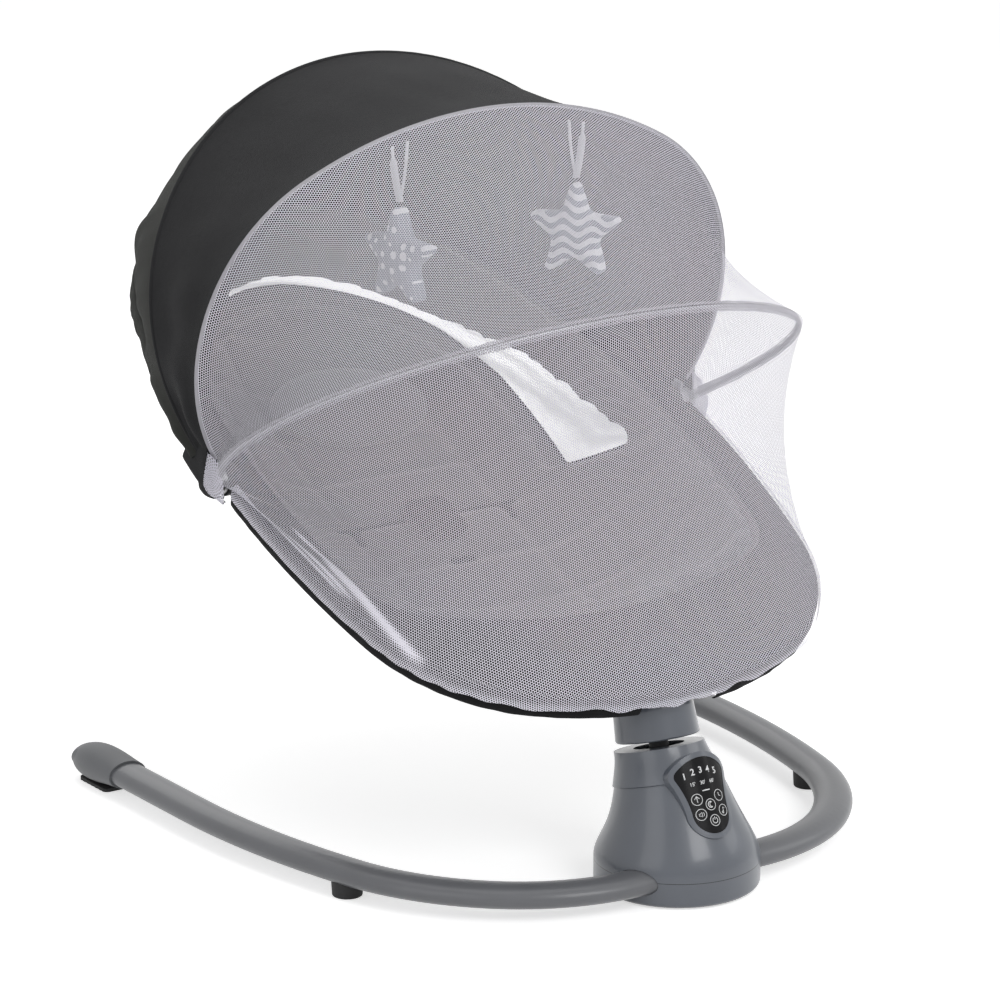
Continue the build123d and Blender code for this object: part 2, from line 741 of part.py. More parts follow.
# ---------------------------------------------------------------- fabric
def rim_band(head, inner, outer):
    """Arch over the cover's edge, round the head end or the foot end of the loop."""
    step = degrees(hem_foot / side_radius)
    if head:
        first, last = pivot_heading + step, 180.0
        outer_half = rim_half(-outer, first, last)
        inner_half = rim_half(-inner, first, last)
    else:
        first, last = 0.0, pivot_heading - step
        outer_half = [reverse(edge) for edge in rim_half(-outer, first, last)][::-1]
        inner_half = [reverse(edge) for edge in rim_half(-inner, first, last)][::-1]
    return rim * Pos(0, 0, cover_top + cover_thickness + fabric_gap) * band(outer_half, inner_half)


def reverse(edge):
    """The same arc run the other way."""
    return Edge.make_three_point_arc(edge @ 1, edge @ 0.5, edge @ 0)


casing_in = bow_wire + 2.1    # the fabric's inside, from a bow's centre line
hem_in = tube_radius + sleeve_wall + fabric_gap


def build_rear_panel():
    return loft([bow_band(rear_bow, 1, casing_in, casing_in + skin_thickness),
                 rim_band(True, hem_in, hem_in + skin_thickness)], ruled=True)


def build_front_panel():
    start = front_bow["angle"] - 0.8
    stop = rear_bow["angle"] - 0.15
    return loft([bow_band(front_bow, 0, casing_in, casing_in + skin_thickness, start),
                 bow_band(rear_bow, 1, casing_in, casing_in + skin_thickness, stop)], ruled=True)


def half_way(first, second):
    """Numbers of the arch half way between two, drawn in by the net's sag."""
    share = cos(radians(first["angle"] - second["angle"]) / 2)
    middle = {key: 0.5 * (first[key] + second[key]) for key in first}
    middle["crown"] *= share
    middle["reach"] = share * middle["reach"] - net_sag
    return middle


def foot_arch():
    """The loop's foot end, with the net's hem on it, described as a bow."""
    reach = pivot_along - rim_foot + hem_in
    hem_level = cover_top + cover_thickness + fabric_gap
    crown, half_angle = rim_arcs[0]
    return {"reach": reach, "crown": crown + hem_in, "half_angle": half_angle,
            "angle": degrees(atan2(hem_level, reach)) - rim_tilt}


def net_band(bow, order, angle=None):
    return bow_band(bow, order, casing_in, casing_in + net_thickness, angle)


def build_upper_net():
    start = front_bow["angle"] - 1.0
    stop = net_bow["angle"] + 0.15
    return loft([net_band(front_bow, 0, start), net_band(half_way(front_bow, net_bow), 1),
                 net_band(net_bow, 2, stop)])


def build_lower_net():
    return loft([net_band(net_bow, 2), net_band(half_way(net_bow, foot_arch()), 1),
                 rim_band(False, hem_in, hem_in + net_thickness)])


def bow_window():
    """Room in the cover for the bows' eyes, outside the loop on both sides."""
    window = Pos(0, pivot_y, pivot_z) * Rot(0, 90, 0) * Cylinder(eye_room, 4 * pivot_x)
    return window - Pos(0, pivot_y, pivot_z) * Box(2 * pivot_x, 100, 100)


def build_cover():
    """Flat top of the fabric over the tube loop, with the foot-end apron."""
    top = extrude(rim_face(-cover_top - cover_thickness) - bowl_face(sling_thickness), amount=cover_thickness)
    return rim * Pos(0, 0, cover_top) * top - bow_window()


def build_skirt():
    """Edge of the cover that hangs down outside the loop, open where the hub comes through."""
    skirt = extrude(rim_face(-cover_top - cover_thickness) - rim_face(-cover_top), amount=cover_top + cover_skirt)
    skirt = rim * Pos(0, 0, -cover_skirt) * skirt - bow_window()
    hub_room = Pos(0, rim_foot, -cover_skirt) * Box(2 * collar_radius + 6, 3 * collar_radius, 2 * cover_skirt + 10)
    return skirt - rim * hub_room


def vent_form(grow):
    """Region of the mesh windows, on both sides and round the head end."""
    outline = Polyline(*[(along, level) for along, level in vent_corners], close=True)
    side = Plane(origin=rim.origin, x_dir=rim.y_dir, z_dir=rim.x_dir)
    face = make_face(outline)
    if grow:
        face = offset(face, amount=grow)
    body = extrude(side * face, amount=2 * pivot_x, both=True)
    low, high = vent_strip
    strip = Box(4 * pivot_x, 2 * pivot_x, high - low + 2 * grow, align=(Align.CENTER, Align.MIN, Align.MIN))
    return body + rim * Pos(0, vent_reach, low - grow) * strip


def build_sling():
    return bowl_form(0) - bowl_form(sling_thickness) - vent_form(0)


def build_vent_mesh():
    start = 0.5 * (sling_thickness - vent_thickness)
    return (bowl_form(start) - bowl_form(start + vent_thickness)) & vent_form(-fit_gap)


def build_pad():
    start = sling_thickness + fabric_gap
    return bowl_form(start) - bowl_form(start + pad_thickness) - vent_form(2 * fit_gap)


seat_inside = sling_thickness + pad_thickness + 2 * fabric_gap
floor_level = bowl_top - bowl_depth + seat_inside


def build_pillow():
    across, along, high = pillow_size
    form = scale(Sphere(1), by=(across, along, high))
    form = rim * Pos(0, pillow_along, floor_level + high - 2) * form
    return form & bowl_form(seat_inside)


def build_buckle():
    across, along, high = buckle_size
    body = Box(across, along, high, align=(Align.CENTER, Align.CENTER, Align.MIN))
    body = fillet(body.edges().filter_by(Axis.Z), 12)
    body = fillet(body.edges().group_by(Axis.Z)[-1], 3)
    body -= Pos(0, 6, high - 1.5) * Cylinder(9, 4, align=(Align.CENTER, Align.CENTER, Align.MIN))
    button = Pos(0, 6, high - 1.5) * Cylinder(8.2, 1.5, align=(Align.CENTER, Align.CENTER, Align.MIN))
    return rim * Pos(0, buckle_along, floor_level) * (body + button)


def build_crotch_strap():
    length = buckle_along - buckle_size[1] / 2 - fit_gap - crotch_along
    body = Box(strap_width, length, strap_thickness, align=(Align.CENTER, Align.MIN, Align.MIN))
    return rim * Pos(0, crotch_along, floor_level) * body


def build_waist_straps():
    """One strap to each side, ending where the floor meets the wall."""
    inner = buckle_size[0] / 2 + fit_gap
    reach = pivot_x
    strap = Box(reach - inner, strap_width, strap_thickness, align=(Align.MIN, Align.CENTER, Align.MIN))
    strap = rim * Pos(inner, buckle_along, floor_level) * strap
    strap &= bowl_form(seat_inside)
    return Compound(children=[strap, mirror(strap, about=Plane.YZ)])


# ---------------------------------------------------------------- hanging stars
def hook(bow):
    """Point of a bow's crown at the stars' distance from the middle, and the wire's slope there."""
    slope = asin(star_x / bow["crown"])
    reach = bow["reach"] - bow["crown"] * (1 - cos(slope))
    turn = radians(bow["angle"])
    return (star_x, pivot_y - reach * cos(turn), pivot_z + reach * sin(turn)), degrees(slope)


def build_star(side):
    (x, y, z), _ = hook(front_bow)
    points = []
    for step in range(10):
        radius = star_radius if step % 2 == 0 else star_waist
        turn = radians(90 + 36 * step)
        points.append((radius * cos(turn), radius * sin(turn)))
    face = make_face(Polyline(*points, close=True))
    face = fillet(face.vertices(), star_round)
    body = extrude(face, amount=star_thickness / 2, both=True)
    body = fillet(body.edges().group_by(Axis.Z)[0] + body.edges().group_by(Axis.Z)[-1], 3)
    place = Pos(side * x, y, z - star_drop) * Rot(0, 0, star_turns["right" if side > 0 else "left"])
    return place * Rot(90, 0, 0) * body


def build_ribbon(side):
    """Band from the bow's wire down to the star's top point."""
    (x, y, z), slope = hook(front_bow)
    notch = radians(36)
    half_tip = atan2(star_waist * sin(notch), star_radius - star_waist * cos(notch))
    tip = star_radius - star_round * (1 / sin(half_tip) - 1)
    length = star_drop - tip - ribbon_gap
    band_form = Box(ribbon_width, ribbon_thickness, length, align=(Align.CENTER, Align.CENTER, Align.MAX))
    wire = Rot(0, 90 + slope, 0) * Cylinder(bow_wire + ribbon_gap, 4 * ribbon_width)
    if side < 0:
        wire = mirror(wire, about=Plane.YZ)
    for swing in (-star_swing, 0, star_swing):
        band_form -= Rot(swing, 0, 0) * wire
    return Pos(side * x, y, z) * band_form


os.makedirs("parts", exist_ok=True)
emit(build_base_mat(), "base_mat")
emit(build_base_plate(), "base_plate")
emit(build_base_ring(), "base_ring")
emit(build_housing(), "motor_housing")
emit(build_shroud(), "panel_shroud")
emit(build_panel(), "control_panel")
emit(build_board(), "circuit_board")
emit(build_carrier(), "bearing_carrier")
emit(build_bearing(upper_bearing_z), "upper_bearing")
emit(build_bearing(lower_bearing_z), "lower_bearing")
emit(build_coil(), "drive_coil")
emit(build_speaker(), "speaker")
emit(build_jack(), "power_inlet")
emit(build_base_screws(), "base_screws")
both_sides(build_leg(), "leg")
both_sides(build_foot(), "leg_foot")
both_sides(build_cap(), "end_cap")
both_sides(build_cap_pad(), "cap_pad")
emit(build_shaft(), "swing_shaft")
emit(build_arm(), "drive_arm")
emit(build_magnet(), "drive_magnet")
emit(build_collar(), "neck_collar")
emit(build_hub(), "seat_hub")
emit(build_hub_screws(), "hub_screws")
emit(build_foot_tube(), "foot_tube")
emit(build_head_tube(), "head_tube")
both_sides(build_side_joint(), "side_joint")
emit(build_pins(), "pivot_pins")
emit(build_cover(), "seat_cover")
emit(build_skirt(), "cover_skirt")
emit(build_sling(), "seat_sling")
emit(build_vent_mesh(), "vent_mesh")
emit(build_pad(), "seat_pad")
emit(build_pillow(), "head_pillow")
emit(build_buckle(), "harness_buckle")
emit(build_crotch_strap(), "crotch_strap")
emit(build_waist_straps(), "waist_straps")
emit(build_bow(front_bow, 0), "front_bow")
emit(build_bow(rear_bow, 1), "rear_bow")
emit(build_bow(net_bow, 2), "net_bow")
emit(build_front_panel(), "canopy_front_panel")
emit(build_rear_panel(), "canopy_rear_panel")
emit(build_upper_net(), "upper_net")
emit(build_lower_net(), "lower_net")
for side, name in ((1, "right"), (-1, "left")):
    emit(build_star(side), f"{name}_star")
    emit(build_ribbon(side), f"{name}_ribbon")
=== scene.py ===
import bpy
import bmesh
import numpy as np
from math import acos, asin, atan2, ceil, cos, degrees, hypot, pi, radians, sin, sqrt, tan
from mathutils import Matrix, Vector
from mathutils.bvhtree import BVHTree


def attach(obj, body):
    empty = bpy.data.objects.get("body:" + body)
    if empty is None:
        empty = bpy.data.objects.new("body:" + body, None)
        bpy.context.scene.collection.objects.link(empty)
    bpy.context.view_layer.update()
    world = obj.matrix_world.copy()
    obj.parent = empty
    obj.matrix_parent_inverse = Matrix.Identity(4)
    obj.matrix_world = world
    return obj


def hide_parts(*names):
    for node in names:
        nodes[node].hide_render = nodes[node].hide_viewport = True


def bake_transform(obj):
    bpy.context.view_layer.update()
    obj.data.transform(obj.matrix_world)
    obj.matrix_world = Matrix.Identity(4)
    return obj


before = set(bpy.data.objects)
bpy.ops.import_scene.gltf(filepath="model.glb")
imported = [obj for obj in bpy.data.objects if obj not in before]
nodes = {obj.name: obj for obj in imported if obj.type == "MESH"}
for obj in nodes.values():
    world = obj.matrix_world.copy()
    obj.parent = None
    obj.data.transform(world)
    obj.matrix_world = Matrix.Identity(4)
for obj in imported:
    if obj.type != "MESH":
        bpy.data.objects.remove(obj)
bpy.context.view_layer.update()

# ---- sizes, in mm, as in the part
TILT_DEG = 24.5
RIM_TILT, RIM_Z, RIM_FOOT = radians(TILT_DEG), 157.0, 9.0
RIM_ARCS = [(308.0, 23.0), (143.0, 79.0), (858.0, 107.0), (222.0, 160.0)]
TUBE, SLEEVE, GAP, COVER = 9.0, 2.0, 0.5, 1.5
COVER_TOP = TUBE + SLEEVE + GAP
PIVOT_Y = 316.0
PIVOT_Z = RIM_Z + PIVOT_Y * tan(RIM_TILT)
PIVOT_W = PIVOT_Y / cos(RIM_TILT)
LIP_START, LIP_R, LIP_CORNER = 99.0, 404.0, 60.0
# Each bow: reach, crown radius, half angle of the crown, angle in its sector, place on the pin.
FRONT = (295.0, 374.0, 28.0, 80.0, 0)
REAR = (339.0, 266.0, 60.0, 116.0, 1)
NETB = (302.0, 320.0, 40.0, 31.5, 2)
WIRE = 1.6
# Where a cloth starts: over the pivots, and along the seat's edge from them; and the points on half an arch.
BOW_FOOT, FOOT_START, HEAD_START, COUNT = 25, 24, 20, 150
AROUND = 340


def unit(vectors, least=0.0):
    length = np.linalg.norm(vectors, axis=1)[:, None]
    return vectors / (np.maximum(length, least) if least else length)


def travelled(pts):
    """Length along a polyline up to each of its points."""
    return np.concatenate([[0], np.cumsum(np.linalg.norm(np.diff(pts, axis=0), axis=1))])


def whole(half):
    """The right half of an arch that ends on x = 0, with its mirror image after it."""
    return np.concatenate([half, half[::-1][1:] * np.array([-1, 1])])


def clamp(values):
    """Values kept within 0 to 1."""
    return np.clip(values, 0, 1)


def bell(x, width):
    """1 at x = 0, falling away to nothing over about two widths."""
    return np.exp(-(x / width) ** 2)


def rim_to_world(pts, level):
    """Points (x, w) of the tilted loop's plane, moved off it by a level or by one for each, in metres."""
    x, w = pts[:, 0], pts[:, 1]
    y = w * cos(RIM_TILT) - level * sin(RIM_TILT)
    z = RIM_Z + w * sin(RIM_TILT) + level * cos(RIM_TILT)
    return np.stack([x, y, z], -1) / 1000


# ---- outlines
def rim_parts():
    x, w, heading, parts = 0.0, RIM_FOOT, 0.0, []
    for radius, reached in RIM_ARCS:
        centre = (x - radius * sin(radians(heading)), w + radius * cos(radians(heading)))
        parts.append((centre, radius, heading, reached))
        x = centre[0] + radius * sin(radians(reached))
        w = centre[1] - radius * cos(radians(reached))
        heading = reached
    radius = x / sin(radians(heading))
    parts.append(((0.0, w + radius * cos(radians(heading))), radius, heading, 180.0))
    return parts


PARTS = rim_parts()
SIDE_C, SIDE_R = PARTS[2][0], PARTS[2][1]
PIVOT_HEAD = degrees(acos((SIDE_C[1] - PIVOT_W) / SIDE_R))
PIVOT_X = SIDE_C[0] + SIDE_R * sin(radians(PIVOT_HEAD))


def chain_points(parts, inset, first=0.0, last=180.0, step=1.0):
    """Points along a chain of arcs (centre, radius, heading, heading), moved inwards by inset."""
    out = []
    for centre, radius, start, end in parts:
        low, high = max(start, first), min(end, last)
        if high - low < 1e-6:
            continue
        count = max(4, int(ceil(radians(high - low) * (radius - inset) / step)))
        turns = np.radians(np.linspace(low, high, count + 1))
        pts = np.stack([centre[0] + (radius - inset) * np.sin(turns),
                        centre[1] - (radius - inset) * np.cos(turns)], -1)
        out.append(pts if not out else pts[1:])
    return np.concatenate(out)


def resample(pts, count, closed=False):
    """Evenly spaced points along a polyline."""
    if closed:
        pts = np.concatenate([pts, pts[:1]])
    at = travelled(pts)
    want = np.linspace(0, at[-1], count + 1)[:-1] if closed else np.linspace(0, at[-1], count)
    return np.stack([np.interp(want, at, pts[:, k]) for k in range(pts.shape[1])], -1)


def bowl_chain(inset):
    """Right half of the bowl's outline: straight lip at the foot, rounded corner, then along the tubes."""
    wall = TUBE + SLEEVE + GAP + inset
    lip_c, lip = (0.0, LIP_START + LIP_R), LIP_R - inset
    side = SIDE_R - wall
    a, b, ra, rb = lip_c, SIDE_C, lip - LIP_CORNER, side - LIP_CORNER
    dx, dy = b[0] - a[0], b[1] - a[1]
    gap = hypot(dx, dy)
    along = (ra ** 2 - rb ** 2 + gap ** 2) / (2 * gap)
    aside = sqrt(ra ** 2 - along ** 2)
    corner = max((a[0] + (along * dx + k * aside * dy) / gap,
                  a[1] + (along * dy - k * aside * dx) / gap) for k in (1, -1))
    t1 = degrees(atan2(corner[0] - lip_c[0], lip_c[1] - corner[1]))
    t2 = degrees(atan2(corner[0] - SIDE_C[0], SIDE_C[1] - corner[1]))
    parts = [(lip_c, lip, 0.0, t1), (corner, LIP_CORNER, t1, t2)]
    for centre, radius, start, end in PARTS:
        if end > t2:
            parts.append((centre, radius - wall, max(start, t2), end))
    return parts


def loop(half):
    """Closed loop with points mirrored in x = 0: AROUND points on each half."""
    return whole(resample(half, AROUND + 1))[:-1]


def eye_x(order):
    """Distance of a bow's eye from the middle plane."""
    boss = PIVOT_X + TUBE + SLEEVE + 0.6
    return boss + 0.7 + order * 4.1 + 1.7


def bow_half(bow, grow, foot):
    """Right half of a bow in its own plane (x, reach), from its foot to its top."""
    reach, crown, half_angle, _, order = bow
    fx = eye_x(order)
    t = radians(half_angle)
    up = reach - 18.0 - crown * (1 - cos(t))
    out = crown * sin(t)
    side = ((fx - out) ** 2 + up ** 2) / (2 * (up * cos(t) - (fx - out) * sin(t)))
    cx, cy = (crown - side) * sin(t), reach - crown + (crown - side) * cos(t)
    end = asin((foot - cy) / (side + grow))
    knee = pi / 2 - t
    a = np.linspace(end, knee, 60)
    b = np.linspace(knee, pi / 2, 60)[1:]
    one = np.stack([cx + (side + grow) * np.cos(a), cy + (side + grow) * np.sin(a)], -1)
    two = np.stack([(crown + grow) * np.cos(b), reach - crown + (crown + grow) * np.sin(b)], -1)
    return np.concatenate([one, two])


def bow_world(pts, angle):
    """Points (x, reach) of a bow's plane in the row frame, in metres."""
    t = radians(angle)
    return np.stack([pts[:, 0], PIVOT_Y - pts[:, 1] * cos(t), PIVOT_Z + pts[:, 1] * sin(t)], -1) / 1000


def arch(bow, grow, angle=None, foot=BOW_FOOT, count=COUNT):
    """Full arch from the right foot over the top to the left foot, 2 * count + 1 points."""
    half = resample(bow_half(bow, grow, foot), count + 1)
    return bow_world(whole(half), bow[3] if angle is None else angle)


def rim_arch(head, offset, level):
    """Arch along the seat's edge, from right to left, round the head end or the foot end."""
    step = degrees((HEAD_START if head else FOOT_START) / SIDE_R)
    if head:
        half = chain_points(PARTS, -offset, PIVOT_HEAD + step, 180.0)
    else:
        half = chain_points(PARTS, -offset, 0.0, PIVOT_HEAD - step)[::-1]
    return rim_to_world(whole(resample(half, COUNT + 1)), level)


# ---- meshes
def shown_object(name, data):
    obj = bpy.data.objects.new(name, data)
    bpy.context.scene.collection.objects.link(obj)
    return obj


def smooth(obj):
    for p in obj.data.polygons:
        p.use_smooth = True
    return obj


def new_object(name, verts, faces, uvs=None):
    mesh = bpy.data.meshes.new(name)
    mesh.from_pydata([tuple(v) for v in verts], [], [tuple(f) for f in faces])
    if uvs is not None:
        layer = mesh.uv_layers.new(name="UVMap")
        idx = np.empty(len(mesh.loops), int)
        mesh.loops.foreach_get("vertex_index", idx)
        layer.data.foreach_set("uv", np.asarray(uvs, float)[idx].ravel())
    mesh.update()
    return smooth(shown_object(name, mesh))


def grid_object(name, rows, closed=False, flip=False):
    """Surface through rows of points; each row the same length. UV in millimetres along the surface."""
    g = np.asarray(rows, float)
    n, m = g.shape[:2]
    verts = g.reshape(-1, 3)
    faces = []
    for i in range(n - 1):
        for j in range(m if closed else m - 1):
            k = (j + 1) % m
            f = (i * m + j, i * m + k, (i + 1) * m + k, (i + 1) * m + j)
            faces.append(f[::-1] if flip else f)
    along = travelled(g[n // 2]) * 1000
    down = np.cumsum(np.linalg.norm(np.diff(g, axis=0), axis=2), axis=0)
    across = np.concatenate([np.zeros((1, m)), down]) * 1000
    u = np.tile(along - along[-1] / 2, (n, 1))
    return new_object(name, verts, faces, np.stack([u, across], -1).reshape(-1, 2))


def baked(obj):
    """The mesh of an object with its modifiers."""
    dg = bpy.context.evaluated_depsgraph_get()
    return bpy.data.meshes.new_from_object(obj.evaluated_get(dg), preserve_all_data_layers=True, depsgraph=dg)


def modify(obj, kind, **values):
    """Adds a modifier and applies it."""
    mod = obj.modifiers.new(kind, kind)
    for key, value in values.items():
        setattr(mod, key, value)
    mesh = baked(obj)
    obj.modifiers.clear()
    old = obj.data
    obj.data = mesh
    bpy.data.meshes.remove(old)


def thicken(obj, thickness, offset=0.0):
    modify(obj, "SOLIDIFY", thickness=thickness, offset=offset)


def subdivide(obj):
    modify(obj, "SUBSURF", levels=1, render_levels=1)


def ring_tube(name, pts, radius, sides):
    """Closed round tube along points in metres."""
    tang = unit(np.roll(pts, -1, 0) - np.roll(pts, 1, 0))
    nrm = unit(np.cross(tang, np.array([0.0, 0.0, 1.0])), 1e-9)
    bi = np.cross(tang, nrm)
    turns = [2 * pi * k / sides for k in range(sides)]
    rows = np.stack([pts + (nrm * cos(a) + bi * sin(a)) * radius for a in turns], 1)
    n = len(pts)
    faces = []
    for i in range(n):
        for k in range(sides):
            a, b, c = i * sides + k, i * sides + (k + 1) % sides, ((i + 1) % n) * sides
            faces.append((a, b, c + (k + 1) % sides, c + k))
    along = travelled(pts) * 1000
    uvs = [(along[i], k) for i in range(n) for k in range(sides)]
    return new_object(name, rows.reshape(-1, 3), faces, uvs)


def join(name, objs):
    """One piece in the place of several."""
    bm = bmesh.new()
    for o in objs:
        bm.from_mesh(o.data)
    mesh = bpy.data.meshes.new(name)
    bm.to_mesh(mesh)
    bm.free()
    for o in objs:
        old = o.data
        bpy.data.objects.remove(o)
        bpy.data.meshes.remove(old)
    return smooth(shown_object(name, mesh))


def area(obj):
    return sum(p.area for p in obj.data.polygons)


# ---- materials
def fill(node, values):
    """Sets a node's inputs."""
    for name, value in values.items():
        node.inputs[name].default_value = value


def material(name, colour, rough=0.5, metal=0.0, coat=0.0, sheen=0.0, specular=0.5):
    m = bpy.data.materials.new(name)
    m.use_nodes = True
    fill(m.node_tree.nodes["Principled BSDF"], {
        "Base Color": (*colour, 1), "Roughness": rough, "Metallic": metal, "Coat Weight": coat,
        "Coat Roughness": 0.12, "Sheen Weight": sheen, "Specular IOR Level": specular})
    m.diffuse_color = (*colour, 1)
    return m


class Nodes:
    """Small helper to write node trees."""

    def __init__(self, mat):
        self.t = mat.node_tree
        self.b = self.t.nodes["Principled BSDF"]

    def add(self, kind, **props):
        n = self.t.nodes.new(kind)
        for k, v in props.items():
            setattr(n, k, v)
        return n

    def link(self, a, b):
        """Joins two sockets; the second may be the name of one of the shader's."""
        self.t.links.new(a, self.b.inputs[b] if isinstance(b, str) else b)

    def coords(self, which="Object", scale=(1, 1, 1)):
        c = self.add("ShaderNodeTexCoord")
        m = self.add("ShaderNodeMapping")
        m.inputs["Scale"].default_value = scale
        self.link(c.outputs[which], m.inputs["Vector"])
        return m.outputs["Vector"]

    def noise(self, vector, scale, detail=2.0):
        n = self.add("ShaderNodeTexNoise")
        fill(n, {"Scale": scale, "Detail": detail})
        self.link(vector, n.inputs["Vector"])
        return n.outputs["Fac"]

    def math(self, op, *values):
        n = self.add("ShaderNodeMath", operation=op)
        for i, v in enumerate(values):
            if isinstance(v, (int, float)):
                n.inputs[i].default_value = v
            else:
                self.link(v, n.inputs[i])
        return n.outputs[0]

    def ramp(self, fac, stops):
        """Two colours, each at its place, blended in between."""
        r = self.add("ShaderNodeValToRGB")
        for element, (place, colour) in zip(r.color_ramp.elements, stops):
            element.position = place
            element.color = (*colour, 1)
        self.link(fac, r.inputs["Fac"])
        return r.outputs["Color"]

    def remap(self, value, low, high, first=0.0, last=1.0):
        """Takes value from the range first..last to low..high, clamped."""
        r = self.add("ShaderNodeMapRange")
        fill(r, {"From Min": first, "From Max": last, "To Min": low, "To Max": high})
        self.link(value, r.inputs["Value"])
        return r.outputs["Result"]

    def split(self, vector):
        s = self.add("ShaderNodeSeparateXYZ")
        self.link(vector, s.inputs[0])
        return s.outputs

    def bump(self, height, distance, strength=1.0, chain=None):
        b = self.add("ShaderNodeBump")
        fill(b, {"Distance": distance, "Strength": strength})
        self.link(height, b.inputs["Height"])
        if chain is not None:
            self.link(chain, b.inputs["Normal"])
        self.link(b.outputs["Normal"], "Normal")
        return b.outputs["Normal"]


def uneven(colour, vary, first):
    """Ramp from a little darker to a little lighter than a colour."""
    dark = tuple(c * (1 - vary) for c in colour)
    light = tuple(min(1, c * (1 + vary)) for c in colour)
    return [(first, dark), (1 - first, light)]


def plastic(name, colour, rough, grain=0.00003, coat=0.0):
    """Moulded plastic: fine grain, faint flow marks and slightly uneven gloss."""
    m = material(name, colour, rough, coat=coat)
    k = Nodes(m)
    v = k.coords()
    fine = k.noise(v, 1600, 2)
    wide = k.noise(v, 22, 3)
    k.link(k.ramp(wide, uneven(colour, 0.06, 0.3)), "Base Color")
    k.link(k.remap(wide, rough - 0.05, rough + 0.07), "Roughness")
    k.bump(fine, grain, 0.6)
    return m


def weave(name, colour, pitch, rough=0.85, sheen=0.3, depth=0.0002, source="UV", specular=0.2):
    """Woven cloth with threads a pitch apart, in mm; UVs are in mm, object coordinates in metres."""
    m = material(name, colour, rough, sheen=sheen, specular=specular)
    m.node_tree.nodes["Principled BSDF"].inputs["Sheen Roughness"].default_value = 0.4
    k = Nodes(m)
    s = (1 / pitch,) * 3 if source == "UV" else (1000 / pitch,) * 3
    x, y, z = k.split(k.coords(source, s))
    warp = k.math("SINE", k.math("MULTIPLY", x, 2 * pi))
    weft = k.math("SINE", k.math("MULTIPLY", y, 2 * pi))
    cross = k.math("MULTIPLY", warp, weft)
    wide = k.noise(k.coords("Object"), 14, 4)
    mid = k.noise(k.coords("Object"), 160, 3)
    mix = k.math("ADD", k.math("MULTIPLY", wide, 0.7), k.math("MULTIPLY", mid, 0.3))
    k.link(k.ramp(mix, uneven(colour, 0.10, 0.35)), "Base Color")
    n = k.bump(mid, 0.0006, 0.35)
    k.bump(cross, depth, 0.6, n)
    return m


def paint(obj, mat):
    obj.data.materials.clear()
    obj.data.materials.append(mat)


GREY = (0.110, 0.122, 0.145)
HOUSING = plastic("housing_satin", GREY, 0.30, coat=0.35)
LEGS = plastic("leg_satin", (0.137, 0.141, 0.152), 0.36, coat=0.15)
CAPS = plastic("cap_moulded", (0.140, 0.145, 0.154), 0.5, grain=0.00006)
RUBBER = plastic("soft_rubber", (0.020, 0.020, 0.021), 0.75, grain=0.0001)
INNER = plastic("inner_moulded", (0.030, 0.030, 0.033), 0.5)
PANEL = material("panel_gloss", (0.006, 0.006, 0.007), 0.2, specular=0.16)
PRINT = material("panel_print", (0.80, 0.81, 0.82), 0.5)
STEEL = material("brushed_steel", (0.50, 0.50, 0.51), 0.32, metal=1.0)
COPPER = material("copper_winding", (0.62, 0.27, 0.12), 0.35, metal=1.0)
BOARD = material("board_green", (0.02, 0.12, 0.05), 0.5)
FRAME = plastic("frame_coat", (0.060, 0.060, 0.064), 0.45)
CANOPY = weave("canopy_weave", (0.0250, 0.0250, 0.0265), 0.9, rough=0.8, sheen=0.04, specular=0.12)
BACKING = weave("backing_weave", (0.040, 0.041, 0.038), 0.9, rough=0.85, sheen=0.05, specular=0.12)
COVERM = weave("cover_weave", (0.012, 0.012, 0.013), 0.8, sheen=0.03, source="Object", specular=0.12)
SEAT = weave("seat_knit", (0.105, 0.105, 0.110), 1.4, rough=0.9, sheen=0.4, depth=0.0003, source="Object")
PILLOW = weave("pillow_knit", (0.15, 0.15, 0.156), 1.2, rough=0.9, sheen=0.4, source="Object")
WEBBING = weave("webbing", (0.03, 0.03, 0.032), 1.6, source="Object")
RIBBON = weave("ribbon_satin", (0.72, 0.72, 0.74), 0.5, rough=0.45, source="Object")
for m, wear in ((STEEL, 400), (COPPER, 900), (BOARD, 120), (PANEL, 30)):
    k = Nodes(m)
    base = k.b.inputs["Roughness"].default_value
    streaks = k.noise(k.coords("Object", (1, 1, 8)), wear, 3)
    k.link(k.remap(streaks, max(0.03, base - 0.06), base + 0.08), "Roughness")


def net_material(name, colour, pitch, hole):
    """Knitted net: round holes on a triangular grid; where the attribute lap is 1 it lies doubled."""
    m = material(name, colour, 0.7, sheen=0.05, specular=0.15)
    k = Nodes(m)
    x, y, z = k.split(k.coords("UV", (1 / pitch, 1 / pitch, 1)))
    root3 = sqrt(3.0)
    dist = []
    for shift in (0.0, 0.5):
        fx = k.math("SUBTRACT", k.math("FRACT", k.math("ADD", x, shift)), 0.5)
        fy = k.math("ADD", k.math("DIVIDE", y, root3), shift)
        fy = k.math("MULTIPLY", k.math("SUBTRACT", k.math("FRACT", fy), 0.5), root3)
        dist.append(k.math("SQRT", k.math("ADD", k.math("MULTIPLY", fx, fx), k.math("MULTIPLY", fy, fy))))
    near = k.math("MINIMUM", dist[0], dist[1])
    lap = k.add("ShaderNodeAttribute", attribute_name="lap")
    near = k.math("MULTIPLY_ADD", lap.outputs["Fac"], 0.34, near)
    k.link(k.remap(near, 0.0, 1.0, hole - 0.04, hole + 0.04), "Alpha")
    return m


NETEDGE = weave("net_edge_weave", (0.50, 0.49, 0.53), 0.6, rough=0.7, sheen=0.05, source="Object")
BOWCASE = net_material("net_bow_knit", (0.40, 0.39, 0.42), 2.05, 0.37)
NET = net_material("net_knit", (0.93, 0.91, 1.0), 2.05, 0.405)
VENT = net_material("vent_knit", (0.95, 0.95, 0.95), 1.6, 0.465)
